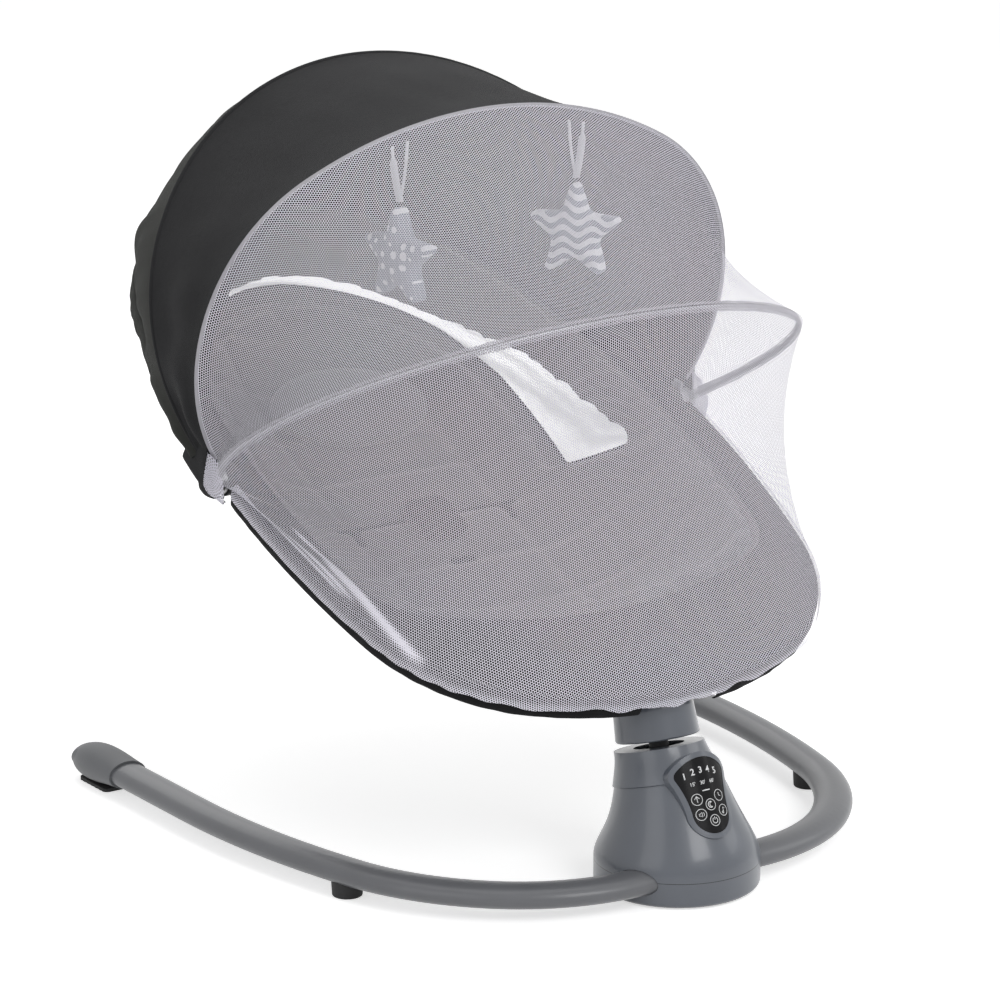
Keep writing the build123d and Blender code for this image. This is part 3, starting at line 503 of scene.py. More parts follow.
# Painted light: its threads glow a little, standing in for light shining through the cloth from behind.
fill(Nodes(VENT).b, {"Emission Color": (1, 1, 1, 1), "Emission Strength": 0.26})


def lap(obj, values):
    """Writes how far the net lies doubled, 0 to 1, at each point."""
    layer = obj.data.attributes.new("lap", "FLOAT", "POINT")
    layer.data.foreach_set("value", clamp(values))


def unfold(obj):
    """Lays the cloth flat without squeezing its weave; its UVs are in mm."""
    bpy.context.view_layer.objects.active = obj
    bpy.ops.object.select_all(action="DESELECT")
    obj.select_set(True)
    bpy.ops.object.mode_set(mode="EDIT")
    bpy.ops.mesh.select_all(action="SELECT")
    bpy.ops.uv.unwrap(method="ANGLE_BASED", margin=0.0)
    bpy.ops.object.mode_set(mode="OBJECT")
    uv = np.empty(len(obj.data.loops) * 2)
    layer = obj.data.uv_layers.active
    layer.data.foreach_get("uv", uv)
    uv = uv.reshape(-1, 2)
    flat = 0.0
    for poly in obj.data.polygons:
        q = uv[list(poly.loop_indices)]
        r = np.roll(q, -1, 0)
        flat += abs(np.sum(q[:, 0] * r[:, 1] - r[:, 0] * q[:, 1])) / 2
    uv = (uv - uv.mean(0)) * sqrt(area(obj) / flat) * 1000
    layer.data.foreach_set("uv", uv.ravel())


# ---- pieces that keep their CAD shape
# Painted shade: the bell's lowest 0.6 mm is darkened, standing in for the shadow in the seam above the ring
# below.
SEAM_SHADED_SHELL = plastic("shell_satin_seam_shade", GREY, 0.30, coat=0.35)
k = Nodes(SEAM_SHADED_SHELL)
shell_z = [v.co.z for v in nodes["motor_housing"].data.vertices]
below = k.math("LESS_THAN", k.split(k.coords())[2], min(shell_z) + 0.0006)
mix = k.add("ShaderNodeMix", data_type="RGBA")
k.link(below, mix.inputs[0])
k.link(k.b.inputs["Base Color"].links[0].from_socket, mix.inputs[6])
# Painted seam shadow: the near-black colour of that lowest band.
mix.inputs[7].default_value = (0.012, 0.013, 0.015, 1)
k.link(mix.outputs[2], "Base Color")

for mat, names in (
        (HOUSING, "base_ring panel_shroud neck_collar seat_hub"), (SEAM_SHADED_SHELL, "motor_housing"),
        (LEGS, "left_leg right_leg"), (CAPS, "left_end_cap right_end_cap"),
        (RUBBER, "base_mat left_leg_foot right_leg_foot left_cap_pad right_cap_pad"),
        (PANEL, "control_panel"), (BOARD, "circuit_board"), (COPPER, "drive_coil"),
        (INNER, "base_plate bearing_carrier speaker power_inlet drive_arm upper_bearing swing_shaft"
         " left_side_joint right_side_joint pivot_pins harness_buckle"),
        (STEEL, "lower_bearing base_screws drive_magnet hub_screws front_bow rear_bow net_bow"),
        (FRAME, "foot_tube head_tube")):
    for name in names.split():
        used = nodes[name].material_slots
        for slot in used:
            slot.material = mat
        if not used:
            nodes[name].data.materials.append(mat)

# ---- canopy and net
CASE_IN = WIRE + 2.1
CLOTH_IN, NET_IN = CASE_IN + 0.6, CASE_IN + 0.4


def drawn(first, middle, last, rows, folds=None):
    """Rows of cloth through three arches; folds(u, t) moves it towards the bows' axis, in mm."""
    centre = np.array([0.0, PIVOT_Y, PIVOT_Z]) / 1000
    t = np.linspace(-1, 1, len(first))
    out = []
    for i in range(rows + 1):
        u = i / rows
        row = first * (1 - u) * (1 - 2 * u) + middle * 4 * u * (1 - u) + last * u * (2 * u - 1)
        if folds is not None:
            row = row + unit(centre - row) * (folds(u, t) / 1000)[:, None]
        out.append(row)
    return out


def half_way(first, second, sag):
    """The bow-like arch half way between two, drawn in by the sag."""
    share = cos(radians(first[3] - second[3]) / 2)
    reach, crown, half_angle, angle = [(a + b) / 2 for a, b in zip(first[:4], second[:4])]
    return (share * reach - sag, share * crown, half_angle, angle, 1)


NET_SAG = 16.0
TOP_ROWS, BACK_ROWS, LOWER_ROWS = 40, 46, 90
HEM_LEVEL = COVER_TOP + COVER + GAP
FOOT_REACH, HEAD_W, HEAD_R = 349.8, 704.36, 136.69
# The seat's edge at the foot and the head, told as bows, so that a cloth's middle can be drawn half way.
FOOT = (PIVOT_W - RIM_FOOT + COVER_TOP, RIM_ARCS[0][0] + COVER_TOP, RIM_ARCS[0][1],
        degrees(atan2(HEM_LEVEL, FOOT_REACH)) - TILT_DEG, 1)
HEAD = (HEAD_W - PIVOT_W + COVER_TOP, HEAD_R + 90, 50.0, 180 - TILT_DEG, 1)


def wave(t, times, phase):
    return np.sin(times * t + phase)


def canopy_folds(u, t):
    """Soft folds that start at the bows' feet and fade over the crown."""
    side = clamp((np.abs(t) - 0.45) / 0.5)
    crease = wave(t, 31, 5 * u) * 1.5 + wave(t, 53, -4 * u + 1) * 0.9
    swell = 2.2 * np.sin(2 * pi * (1.2 * u + 0.35 * t)) * (0.4 + 0.6 * side)
    return 4 * u * (1 - u) * (crease * (0.25 + side) + swell)


def back_folds(u, t):
    """The back is gathered on elastic at the seat's edge, so it crumples towards there."""
    pull = u ** 1.5 * (1 - 0.55 * u)
    crumple = wave(t, 70, 3 * u) * 2.6 + wave(t, 113, 6 * u + 2) * 1.8 + wave(t, 37, 1 + 9 * u) * 2.4
    belly = -9 * np.sin(pi * u) * (1 - 0.5 * t * t)
    return pull * crumple * 1.6 + belly + 3 * np.sin(pi * u) * wave(t, 17, 4 * u)


def net_folds(u, t):
    """Long folds along the seat's edge on both sides, from the bows' feet towards the foot end."""
    near = bell(np.abs(t) - 0.74, 0.2) * (0.5 + 0.5 * np.sign(t))
    line = np.sin(2 * pi * (3.1 * u + 0.35 * np.abs(t))) + 0.6 * np.sin(2 * pi * (6.3 * u - 0.5 * np.abs(t)))
    return near * 2.4 * line * (u ** 1.2) * (1 - u) * 4


canopy_front = grid_object("canopy_top_cloth", drawn(
    arch(FRONT, CLOTH_IN, FRONT[3] - 0.8), arch(half_way(FRONT, REAR, 5), CLOTH_IN),
    arch(REAR, CLOTH_IN), TOP_ROWS, canopy_folds))
upper = grid_object("net_upper_cloth", drawn(
    arch(FRONT, NET_IN, FRONT[3] - 1.0), arch(half_way(FRONT, NETB, NET_SAG), NET_IN),
    arch(NETB, NET_IN, NETB[3] + 0.15), TOP_ROWS))
lower_rows = drawn(
    arch(NETB, NET_IN), arch(half_way(NETB, FOOT, NET_SAG), NET_IN),
    rim_arch(False, 12.6, COVER_TOP + COVER + 0.9), LOWER_ROWS, net_folds)
turn = np.linspace(-1, 1, 2 * COUNT + 1)
ripple = (0.7 * np.sin(43 * turn + 3.5 * np.sin(7 * turn)) + 0.4 * np.sin(97 * turn + 2 * np.sin(13 * turn))
          + 0.5 * np.sin(19 * turn + 1))


def over_edge(head, places):
    """Rows that take a cloth on over the seat's edge and down its outside, gathered more towards the end."""
    rows = []
    down = np.array([0, sin(RIM_TILT), -cos(RIM_TILT)]) / 1000
    for step, (offset, level) in enumerate(places):
        band = rim_arch(head, offset, level)
        away = band - rim_arch(head, offset - 1, level)
        grow = (step + 1) / len(places)
        full = ripple * (1.0 if head else 1.0 - 0.9 * clamp((np.abs(turn) - 0.45) / 0.25))
        rows.append(band + away * (0.9 * full * grow)[:, None] + down * (1.4 * full * grow * grow)[:, None])
    return rows


lower_rows += over_edge(False, ((14.6, 14.0), (16.2, 11.4), (16.8, 8.0), (16.9, 4.6), (16.9, 2.4),
                                (16.7, 0.4)))
lower = grid_object("net_lower_cloth", lower_rows)
canopy_rear = grid_object("canopy_back_cloth", drawn(
    arch(REAR, CLOTH_IN), arch(half_way(REAR, HEAD, -4), CLOTH_IN),
    rim_arch(True, 12.0, COVER_TOP + COVER + 1.6), BACK_ROWS, back_folds)
    + over_edge(True, ((14.6, 14.4), (16.4, 11.6), (17.0, 7.0), (16.8, 2.0), (16.2, -3.0), (14.8, -6.5))))

# Where the net lies doubled: narrow folds from the pivot along the seat's edge, and the hem.
STREAKS = ((0.985, 0.68, 0.84, 0.975, 0.013, 0.9), (0.975, 0.655, 0.72, 0.955, 0.014, 1.0),
           (0.80, 0.50, 0.72, 1.0, 0.010, 0.9), (0.72, 0.49, 0.84, 1.01, 0.020, 1.0),
           (0.93, 0.84, 0.42, 0.55, 0.008, 0.6))
uu, tt = np.meshgrid(np.arange(len(lower_rows)) / LOWER_ROWS, turn, indexing="ij")
streaks = np.zeros_like(uu)
for t_first, t_last, u_first, u_last, width, gain in STREAKS:
    f = clamp((t_first - tt) / (t_first - t_last))
    line = u_first + (u_last - u_first) * f ** 0.85
    fade = clamp((t_first - tt) / 0.03) * clamp((tt - t_last + 0.02) / 0.04)
    streaks += gain * bell(uu - line, width) * fade
hem = clamp((uu - 1.03) / 0.02) * 0.3
lap(lower, (streaks * 0.8 + hem).ravel())
for obj in (upper, lower, canopy_front, canopy_rear):
    unfold(obj)

SIZES = {}
for obj, mat, thick, slot, node in ((canopy_front, CANOPY, 0.0009, "canopy_fabric", "canopy_front_panel"),
                                    (canopy_rear, BACKING, 0.0009, "canopy_fabric", "canopy_rear_panel"),
                                    (upper, NET, 0.0, "net_white", "upper_net"),
                                    (lower, NET, 0.0, "net_white", "lower_net")):
    SIZES[obj.name] = area(obj)
    if thick:
        thicken(obj, thick)
    paint(obj, mat)
    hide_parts(node)


def at(reach, angle):
    """Point beside the pivot, in metres."""
    t = radians(angle)
    return (0, (PIVOT_Y - reach * cos(t)) / 1000, (PIVOT_Z + reach * sin(t)) / 1000)


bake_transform(canopy_rear)
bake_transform(canopy_front)
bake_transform(upper)
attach(lower, "net_arch")

# ---- helpers for soft pieces
def copy_node(node, name):
    """A free copy of a CAD node's mesh, to be worked into a soft piece."""
    mesh = nodes[node].data.copy()
    mesh.materials.clear()
    obj = shown_object(name, mesh)
    bm = bmesh.new()
    bm.from_mesh(mesh)
    bmesh.ops.remove_doubles(bm, verts=bm.verts, dist=1e-6)
    bm.to_mesh(mesh)
    bm.free()
    for a in ("custom_normal", "sharp_face", "sharp_edge"):
        if a in mesh.attributes:
            mesh.attributes.remove(mesh.attributes[a])
    return obj


def read(mesh, what="co"):
    """Every vertex's place, or its normal."""
    values = np.empty(len(mesh.vertices) * 3)
    mesh.vertices.foreach_get(what, values)
    return values.reshape(-1, 3)


def set_coords(obj, co):
    obj.data.vertices.foreach_set("co", np.asarray(co, float).ravel())
    obj.data.update()


PUFF_FRAMES = 20


def puff(obj, voxel, pressure, cap, shrink=0.0):
    """Soft stuffing: remeshed, then blown up by cloth simulation, each point moving at most cap."""
    modify(obj, "REMESH", mode="VOXEL", voxel_size=voxel)
    if shrink:
        obj.data.update()
        set_coords(obj, read(obj.data) - read(obj.data, "normal") * shrink)
    modify(obj, "SMOOTH", factor=0.5, iterations=4)
    rest = read(obj.data)
    mod = obj.modifiers.new("Cloth", "CLOTH")
    cloth = mod.settings
    cloth.quality = 4
    cloth.mass = 0.3
    cloth.use_pressure = True
    cloth.uniform_pressure_force = pressure
    cloth.effector_weights.gravity = 0
    cloth.tension_stiffness = 12
    cloth.compression_stiffness = 12
    cloth.bending_stiffness = 0.6
    mod.collision_settings.use_collision = False
    scene = bpy.context.scene
    for frame_number in range(1, PUFF_FRAMES + 1):
        scene.frame_set(frame_number)
    mesh = baked(obj)
    move = read(mesh) - rest
    bpy.data.meshes.remove(mesh)
    obj.modifiers.clear()
    scene.frame_set(1)
    move[~np.isfinite(move).all(1)] = 0
    length = np.maximum(np.linalg.norm(move, axis=1), 1e-9)
    set_coords(obj, rest + move * np.minimum(1, cap / length)[:, None])
    return smooth(obj)


def to_rim(co):
    """(x, distance along the slope, level) of points, in mm."""
    y, z = co[:, 1] * 1000, co[:, 2] * 1000 - RIM_Z
    return np.stack([co[:, 0] * 1000, y * cos(RIM_TILT) + z * sin(RIM_TILT),
                     z * cos(RIM_TILT) - y * sin(RIM_TILT)], -1)


def dress(obj, mat, slot, body, *replaced):
    """Paints a piece and lets it move with a body, in the place of the named nodes."""
    paint(obj, mat)
    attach(obj, body)
    if replaced:
        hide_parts(*replaced)


def cut_away(obj, hit, cap=0):
    """Closes the last cap points with one face, then deletes the quads whose middles hit, in to_rim's mm."""
    bm = bmesh.new()
    bm.from_mesh(obj.data)
    if cap:
        bm.verts.ensure_lookup_table()
        bm.faces.new([bm.verts[i] for i in range(len(bm.verts) - cap, len(bm.verts))])
    quads = [f for f in bm.faces if len(f.verts) == 4]
    gone = hit(*to_rim(np.array([f.calc_center_median() for f in quads])).T)
    bmesh.ops.delete(bm, geom=[f for f, out in zip(quads, gone) if out], context="FACES")
    bm.to_mesh(obj.data)
    bm.free()


# ---- seat bowl, cover and mesh window
BOWL_TOP = TUBE + SLEEVE
BOWL_DEPTH = 117.0
WINDOW_TIP, WINDOW_TURN = 332, 556
BOWL_LEVELS = np.array([(0.0, 0.0), (0.35, 14.0), (0.75, 50.0), (1.0, 102.0)])


def bowl_inset(share):
    """How far the bowl's wall has moved in at a share of its depth: a smooth curve through the levels."""
    x, y = BOWL_LEVELS[:, 0], BOWL_LEVELS[:, 1]
    total = np.zeros_like(np.asarray(share, float))
    for i in range(4):
        term = np.full_like(total, y[i])
        for j in range(4):
            if j != i:
                term = term * (share - x[j]) / (x[i] - x[j])
        total = total + term
    return total


def bowl_loop(share, gap):
    """The bowl's outline at a share of its depth, inside its wall by a gap, and its level."""
    level = BOWL_TOP - share * (BOWL_DEPTH - gap)
    half = chain_points(bowl_chain(float(bowl_inset(share)) + gap), 0.0)
    return loop(half), level


def vent_span(w):
    """Top and bottom level of the mesh window at a distance along the slope."""
    top = np.interp(w, [WINDOW_TIP, 478, 570, 900], [-22, -33, -48, -48])
    bottom = np.interp(w, [WINDOW_TIP, 374, 492, 570, 900], [-22, -76, -62, -60, -60])
    return top, bottom


wall = []
for share in np.concatenate([np.linspace(0, 0.97, 46), [0.985, 1.0]]):
    pts, level = bowl_loop(share, 0.4)
    wall.append(rim_to_world(pts, level))
floor_rows = []
last = to_rim(wall[-1])
centre_w = (last[:, 1].min() + last[:, 1].max()) / 2
for f in (0.85, 0.65, 0.4, 0.15):
    pts = last.copy()
    pts[:, 0] *= f
    pts[:, 1] = centre_w + (pts[:, 1] - centre_w) * f
    floor_rows.append(rim_to_world(pts, pts[:, 2]))
sling = grid_object("seat_sling_cloth", wall + floor_rows, closed=True)


def in_window(x, w, level):
    """Where the mesh window is let into the bowl's wall."""
    top, bottom = vent_span(w)
    return (w > WINDOW_TIP) & (level < top) & (level > bottom)


cut_away(sling, in_window, 2 * AROUND)
thicken(sling, 0.0022, -1.0)
size = area(sling) / 2
dress(sling, SEAT, "seat_fabric", "seat", "seat_sling")


def window_rows(gap, count):
    """Grid of the mesh window, from one tip round the head end: count steps from its bottom to its top."""
    steps = 59
    fine = np.linspace(0, 1, steps + 1)
    loops = [bowl_loop(share, gap) for share in fine]
    levels = np.array([level for _, level in loops])
    halves = [pts[:AROUND + 1] for pts, _ in loops]
    ends = [resample(half[int(np.argmax(half[:, 1] > WINDOW_TURN)):], steps + 1) for half in halves]

    def between(level):
        """The two outlines that a level lies between, and how far it has gone to the second."""
        share = np.interp(-level, -levels, fine)
        i = min(int(share * steps), steps - 1)
        return i, share * steps - i

    def x_at(half, w):
        wide = half[:, 0] > 100
        order = np.argsort(half[wide, 1])
        return np.interp(w, half[wide, 1][order], half[wide, 0][order])

    grid = []
    for f in np.arange(count + 1) / count:
        row = []
        for w in np.arange(WINDOW_TIP + 1.0, WINDOW_TURN, 3.0):
            top, bottom = vent_span(w)
            level = bottom + (top - bottom) * f
            i, g = between(level)
            row.append((x_at(halves[i], w) * (1 - g) + x_at(halves[i + 1], w) * g, w, level))
        for t in range(1, steps + 1):
            level = -60 + 12 * f
            i, g = between(level)
            x, w = ends[i][t] * (1 - g) + ends[i + 1][t] * g
            row.append((x, w, level))
        row = np.array(row)
        row = np.concatenate([row, row[::-1][1:] * np.array([-1, 1, 1])])
        grid.append(rim_to_world(row, row[:, 2]))
    return grid


window = window_rows(1.0, 10)
k = np.linspace(-1, 1, len(window[0]))
vent_rows = []
for r, row in enumerate(window):
    f = r / 10
    inward = np.stack([-np.sign(k) * np.ones_like(k), np.zeros_like(k), np.zeros_like(k)], -1)
    sag = (4 * f * (1 - f)) * (1.2 + 1.6 * np.sin(60 * k + 3 * f)) * clamp(1.4 - np.abs(k) * 0.3)
    vent_rows.append(row + inward * (sag / 1000 * clamp(np.abs(k) * 3))[:, None])
vent = grid_object("mesh_window_cloth", vent_rows)
size = area(vent)
kk, ff = np.meshgrid(k, np.linspace(0, 1, len(vent_rows)))
doubled = 0.55 * clamp((0.62 - np.abs(np.abs(kk) - 0.9) * 2.4))
doubled += 0.8 * bell(ff - 0.2 - 0.25 * np.sin(5 * kk), 0.1)
doubled += 0.5 * bell(ff - 0.75 + 0.2 * np.sin(7 * kk), 0.07)
lap(vent, doubled.ravel())
thicken(vent, 0.0007)
dress(vent, VENT, "vent_mesh_white", "seat", "vent_mesh")
edge_pts = np.concatenate([window[0], window[-1][::-1]])
binding = ring_tube("mesh_window_binding", resample(edge_pts, 600, closed=True), 0.0016, 8)
dress(binding, COVERM, "cover_fabric", "seat")

# Cover: flat top, rounded shoulder and a ruffled edge below it
EDGE = [(2.0, 12.7), (9.0, 12.9), (11.6, 11.6), (12.9, 8.5), (13.3, 3.0), (13.1, -3.0), (12.7, -7.0),
        (11.4, -9.6), (9.2, -10.6)]


def rim_loop(offset):
    return loop(chain_points(PARTS, -offset))


inner = loop(chain_points(bowl_chain(1.2), 0.0))
outer = rim_loop(0.0)
turn = np.linspace(0, 2 * pi, 2 * AROUND, endpoint=False)
cover_rows = []
for lift, f in ((7.0, 0.0), (11.2, 0.01), (12.7, 0.05), (12.8, 0.35), (12.8, 0.7)):
    pts = inner * (1 - f) + outer * f
    slack = 0.5 * np.sin(23 * turn) * np.sin(pi * f) * (f > 0.2)
    cover_rows.append(rim_to_world(pts, lift + slack))
for offset, level in EDGE:
    low_share = clamp((4 - level) / 14)
    gather = low_share * (1.0 * np.sin(61 * turn + 2 * np.sin(9 * turn)) + 0.7 * np.sin(97 * turn + 1))
    pts = rim_loop(offset)
    away = pts - rim_loop(offset - 1)
    pts = pts + away * gather[:, None] * 0.8
    cover_rows.append(rim_to_world(pts, level + gather * 0.8))
cover = grid_object("seat_cover_cloth", cover_rows, closed=True)


EYE_ROOM, HUB_SIDE, HUB_END, HUB_TOP = 21, 37, 60, 4


def in_way(x, w, level):
    """Where the pivots and the hub come through the cover."""
    near_eye = (np.hypot(w - PIVOT_W, level) < EYE_ROOM) & (np.abs(x) > PIVOT_X + 3)
    return near_eye | (np.abs(x) < HUB_SIDE) & (w < HUB_END) & (level < HUB_TOP)


cut_away(cover, in_way)
size = area(cover)
thicken(cover, 0.0012, -1.0)
subdivide(cover)
dress(cover, COVERM, "cover_fabric", "seat", "seat_cover", "cover_skirt")

# ---- pads and straps
QUILT_PITCH, QUILT_SIDE, GROOVE_WIDTH, GROOVE_DEPTH = 62.0, 78, 4.0, 0.0035
pad = puff(copy_node("seat_pad", "seat_pad_quilted"), 0.006, 3.0, 0.004)
co, nrm = read(pad.data), read(pad.data, "normal")
m = to_rim(co)
up = np.array([0, -sin(RIM_TILT), cos(RIM_TILT)])
facing = clamp(nrm @ up)
groove = np.zeros(len(co))
for w in np.arange(170, 700, QUILT_PITCH):
    groove += bell(m[:, 1] - w, GROOVE_WIDTH)
groove += bell(np.abs(m[:, 0]) - QUILT_SIDE, GROOVE_WIDTH)
set_coords(pad, co - nrm * (np.minimum(groove, 1) * facing * GROOVE_DEPTH)[:, None])
subdivide(pad)
dress(pad, SEAT, "seat_fabric", "seat", "seat_pad")

pillow = puff(copy_node("head_pillow", "head_pillow_soft"), 0.004, 4.0, 0.006)
subdivide(pillow)
dress(pillow, PILLOW, "pillow_fabric", "seat", "head_pillow")

for node in ("crotch_strap", "waist_straps"):
    strap = copy_node(node, node + "_webbing")
    modify(strap, "REMESH", mode="VOXEL", voxel_size=0.0009)
    modify(strap, "SMOOTH", factor=0.5, iterations=3)
    dress(strap, WEBBING, "strap_webbing", "seat", node)

# ---- casings on the bows
CASING_FOOT = 21


def sleeve(name, bow, half_height, half_width, count, shift=0.0, angle=0.0):
    """Flat cloth sleeve round a bow's wire; its section is tall in the bow's own plane."""
    line = arch(bow, shift, bow[3] + angle, CASING_FOOT, count)
    t = radians(bow[3] + angle)
    plane_normal = np.array([0, sin(t), cos(t)])
    tall = unit(np.cross(unit(np.gradient(line, axis=0)), plane_normal))
    rows = []
    n, sides = len(line), 14
    along = travelled(line) * 1000
    for k in range(sides + 1):
        a = 2 * pi * k / sides
        pucker = 1 + 0.05 * np.sin(0.37 * along + 3 * (k % sides)) + 0.04 * np.sin(0.2 * along)
        wide = plane_normal * (sin(a) * half_width / 1000) * pucker[:, None]
        rows.append(line + tall * (cos(a) * half_height / 1000) + wide)
    g = np.stack(rows, 1)
    girth = pi * (half_height + half_width)
    uvs = [(along[i], k * girth / sides) for i in range(n) for k in range(sides + 1)]
    step = sides + 1
    firsts = [i * step + k for i in range(n - 1) for k in range(sides)]
    faces = [(first, first + 1, first + step + 1, first + step) for first in firsts]
    return new_object(name, g.reshape(-1, 3), faces, uvs)


# Each casing: bow, sizes, looks, body, then its strip's length and its wire, if it is a sewn strip.
CASINGS = (
    ("net_bow_casing", NETB, (2.2, 4.4, 220), BOWCASE, "net_white", "net_arch", 0.82, "net_bow"),
    ("net_front_binding", FRONT, (1.9, 1.3, 260, CASE_IN + 0.1, -0.75), NETEDGE, "net_white",
     "canopy_front", None, None),
    ("front_bow_casing", FRONT, (6.0, 2.7, 200, -3.4), CANOPY, "canopy_fabric",
     "canopy_front", 0.87, "front_bow"),
    ("rear_bow_casing", REAR, (5.4, 3.4, 200, 0.6), CANOPY, "canopy_fabric",
     "canopy_rear", 0.9, "rear_bow"))
casings = {}
for name, bow, sizes, mat, slot, body, length, wire in CASINGS:
    casing = casings[name] = sleeve(name, bow, *sizes)
    dress(casing, mat, slot, body)
    if length:
        size = area(casing)


FLAP_X, FLAP_WIDTH = 249.3, 0.05


def corner_flap(name, side, first, last, upper_first, upper_last, lift, mat, slot):
    """Cloth corner sewn over a pivot: a flat dome outside the bows' feet, closed below on the seat's edge."""
    rows = []
    deg = np.linspace(first, last, 73)
    turns = np.radians(deg)
    rise = clamp((deg - upper_first + 30) / 30) * clamp((upper_last + 30 - deg) / 30)
    rise = rise * rise * (3 - 2 * rise)
    low = clamp((np.abs(deg - 90) - 110) / 80)
    reach = (22 + lift * rise) * (1 - 0.35 * low) + 0.6 * np.sin(9 * turns)
    edge_x = 233.6 + 12.8 * rise
    for f in np.linspace(0.02, 1, 17):
        x = FLAP_X + 0.5 * np.sin(5 * turns) * f - (FLAP_X - edge_x) * f ** (3.2 - 1.2 * rise)
        y = PIVOT_Y - reach * f * np.cos(turns)
        z = PIVOT_Z + reach * f * np.sin(turns)
        rows.append(np.stack([side * x, y, z], -1) / 1000)
    flap = grid_object(name, rows, flip=side < 0)
    lap(flap, np.full(len(flap.data.vertices), 0.1))
    thicken(flap, 0.0006)
    dress(flap, mat, slot, "seat")


for side, name in ((1, "right"), (-1, "left")):
    corner_flap(name + "_net_corner", side, -50.0, 84.0, -24.5, 84.0, 5.0, NET, "net_white")
    corner_flap(name + "_canopy_corner", side, 80.0, 304.0, 60.0, 155.5, 18.0, CANOPY, "canopy_fabric")

# The sewn panels, with the bows and tubes that hold them: the area of each, and the side of a square as
# large.
for panel, held_by, *pieces in (
        (canopy_front, ["front_bow", "rear_bow"]), (canopy_rear, ["rear_bow", "head_tube"]),
        (upper, ["front_bow", "net_bow"], casings["net_front_binding"]), (lower, ["net_bow", "foot_tube"])):
    size = SIZES[panel.name]
    side = sqrt(size)

# ---- stars and ribbons
STAR_X, STAR_DROP, STAR_TIP = 88.0, 102.0, 45.5
WAVE_LENGTH, WAVE_HEIGHT, STRIPE_PITCH, DOT_PITCH = 0.0255, 0.0029, 0.0101, 0.0112
hook_slope = asin(STAR_X / FRONT[1])
hook_reach = FRONT[0] - FRONT[1] * (1 - cos(hook_slope))
HOOK_Y = PIVOT_Y - hook_reach * cos(radians(FRONT[3]))
HOOK_Z = PIVOT_Z + hook_reach * sin(radians(FRONT[3]))


def star_pattern(mat, kind, turn, side):
    """Wavy stripes or scattered dots in the star's own plane."""
    k = Nodes(mat)
    c = k.add("ShaderNodeTexCoord")
    mp = k.add("ShaderNodeMapping", vector_type="TEXTURE")
    middle = (side * STAR_X / 1000, HOOK_Y / 1000, (HOOK_Z - STAR_DROP) / 1000)
    fill(mp, {"Location": middle, "Rotation": (0, 0, radians(turn))})
    k.link(c.outputs["Object"], mp.inputs["Vector"])
    x, y, z = k.split(mp.outputs["Vector"])
    ground, light = (0.27, 0.29, 0.34), (0.86, 0.86, 0.88)
    if kind == "waves":
        bend = k.math("MULTIPLY", k.math("SINE", k.math("MULTIPLY", x, 2 * pi / WAVE_LENGTH)), WAVE_HEIGHT)
        fac = k.math("SINE", k.math("MULTIPLY", k.math("ADD", z, bend), 2 * pi / STRIPE_PITCH))
        fac = k.math("MULTIPLY_ADD", fac, 0.5, 0.5)
        stops = [(0.46, ground), (0.54, light)]
    else:
        comb = k.add("ShaderNodeCombineXYZ")
        k.link(x, comb.inputs[0])
        k.link(z, comb.inputs[1])
        vor = k.add("ShaderNodeTexVoronoi", voronoi_dimensions="2D", feature="F1")
        fill(vor, {"Scale": 1 / DOT_PITCH, "Randomness": 0.5})
        k.link(comb.outputs[0], vor.inputs["Vector"])
        size = k.split(vor.outputs["Color"])[0]
        limit = k.math("MULTIPLY_ADD", size, 0.22, 0.12)
        fac = k.math("SUBTRACT", vor.outputs["Distance"], limit)
        fac = k.math("MULTIPLY_ADD", fac, -12.0, 0.5)
        stops = [(0.3, ground), (0.7, light)]
    k.link(k.ramp(fac, stops), "Base Color")
    k.bump(k.noise(k.coords("Object"), 900, 2), 0.0002, 0.5)


for side, name, turn, kind in ((1, "right", -59.0, "waves"), (-1, "left", -84.0, "dots")):
    star = puff(copy_node(name + "_star", name + "_star_plush"), 0.0026, 4.0, 0.004, shrink=0.0012)
    subdivide(star)
    mat = material("star_print_" + kind, (0.4, 0.42, 0.48), 0.85, sheen=0.3, specular=0.2)
    star_pattern(mat, kind, turn, side)
    dress(star, mat, "star_fabric", name + "_toy", name + "_star")
    hook_at = np.array([side * STAR_X, HOOK_Y, HOOK_Z])
    tip_at = hook_at - np.array([0, 0, STAR_DROP - STAR_TIP])
    strands = []
    for lean, face in ((1, 0.1), (-1, 1.3)) if side > 0 else ((-1, 0.1), (1, 1.3)):
        left_of, right_of = [], []
        for f in np.linspace(0, 1, 26):
            mid_pt = tip_at * (1 - f) + (hook_at + np.array([lean * 7.5, 0, -3.5])) * f
            mid_pt = mid_pt + np.array([lean * 1.6 * sin(pi * f), 0, 0])
            free = clamp((0.70 - f) / 0.08)
            twist = (radians(-37) + face) * free
            wide = np.array([cos(twist), sin(twist), 0]) * (3.1 * free + 1.4 * (1 - free))
            left_of.append(mid_pt - wide)
            right_of.append(mid_pt + wide)
        left_of, right_of = np.array(left_of), np.array(right_of)
        rows = [left_of, (left_of + right_of) / 2, right_of]
        strand = grid_object("strand", [r / 1000 for r in rows])
        thicken(strand, 0.0007)
        strands.append(strand)
    ribbon = join(name + "_ribbon_loop", strands)
    dress(ribbon, RIBBON, "ribbon_white", name + "_toy", name + "_ribbon")

# ---- signs on the control panel
SLOPE = radians(64)
PANEL_O = np.array([0, -54.5, 58.0])
PANEL_UP = np.array([0, cos(SLOPE), sin(SLOPE)])
PANEL_N = np.array([0, -sin(SLOPE), cos(SLOPE)])
panel = nodes["control_panel"].data
panel_tree = BVHTree.FromPolygons([tuple(v.co) for v in panel.vertices],
                                  [tuple(p.vertices) for p in panel.polygons])
signs = []


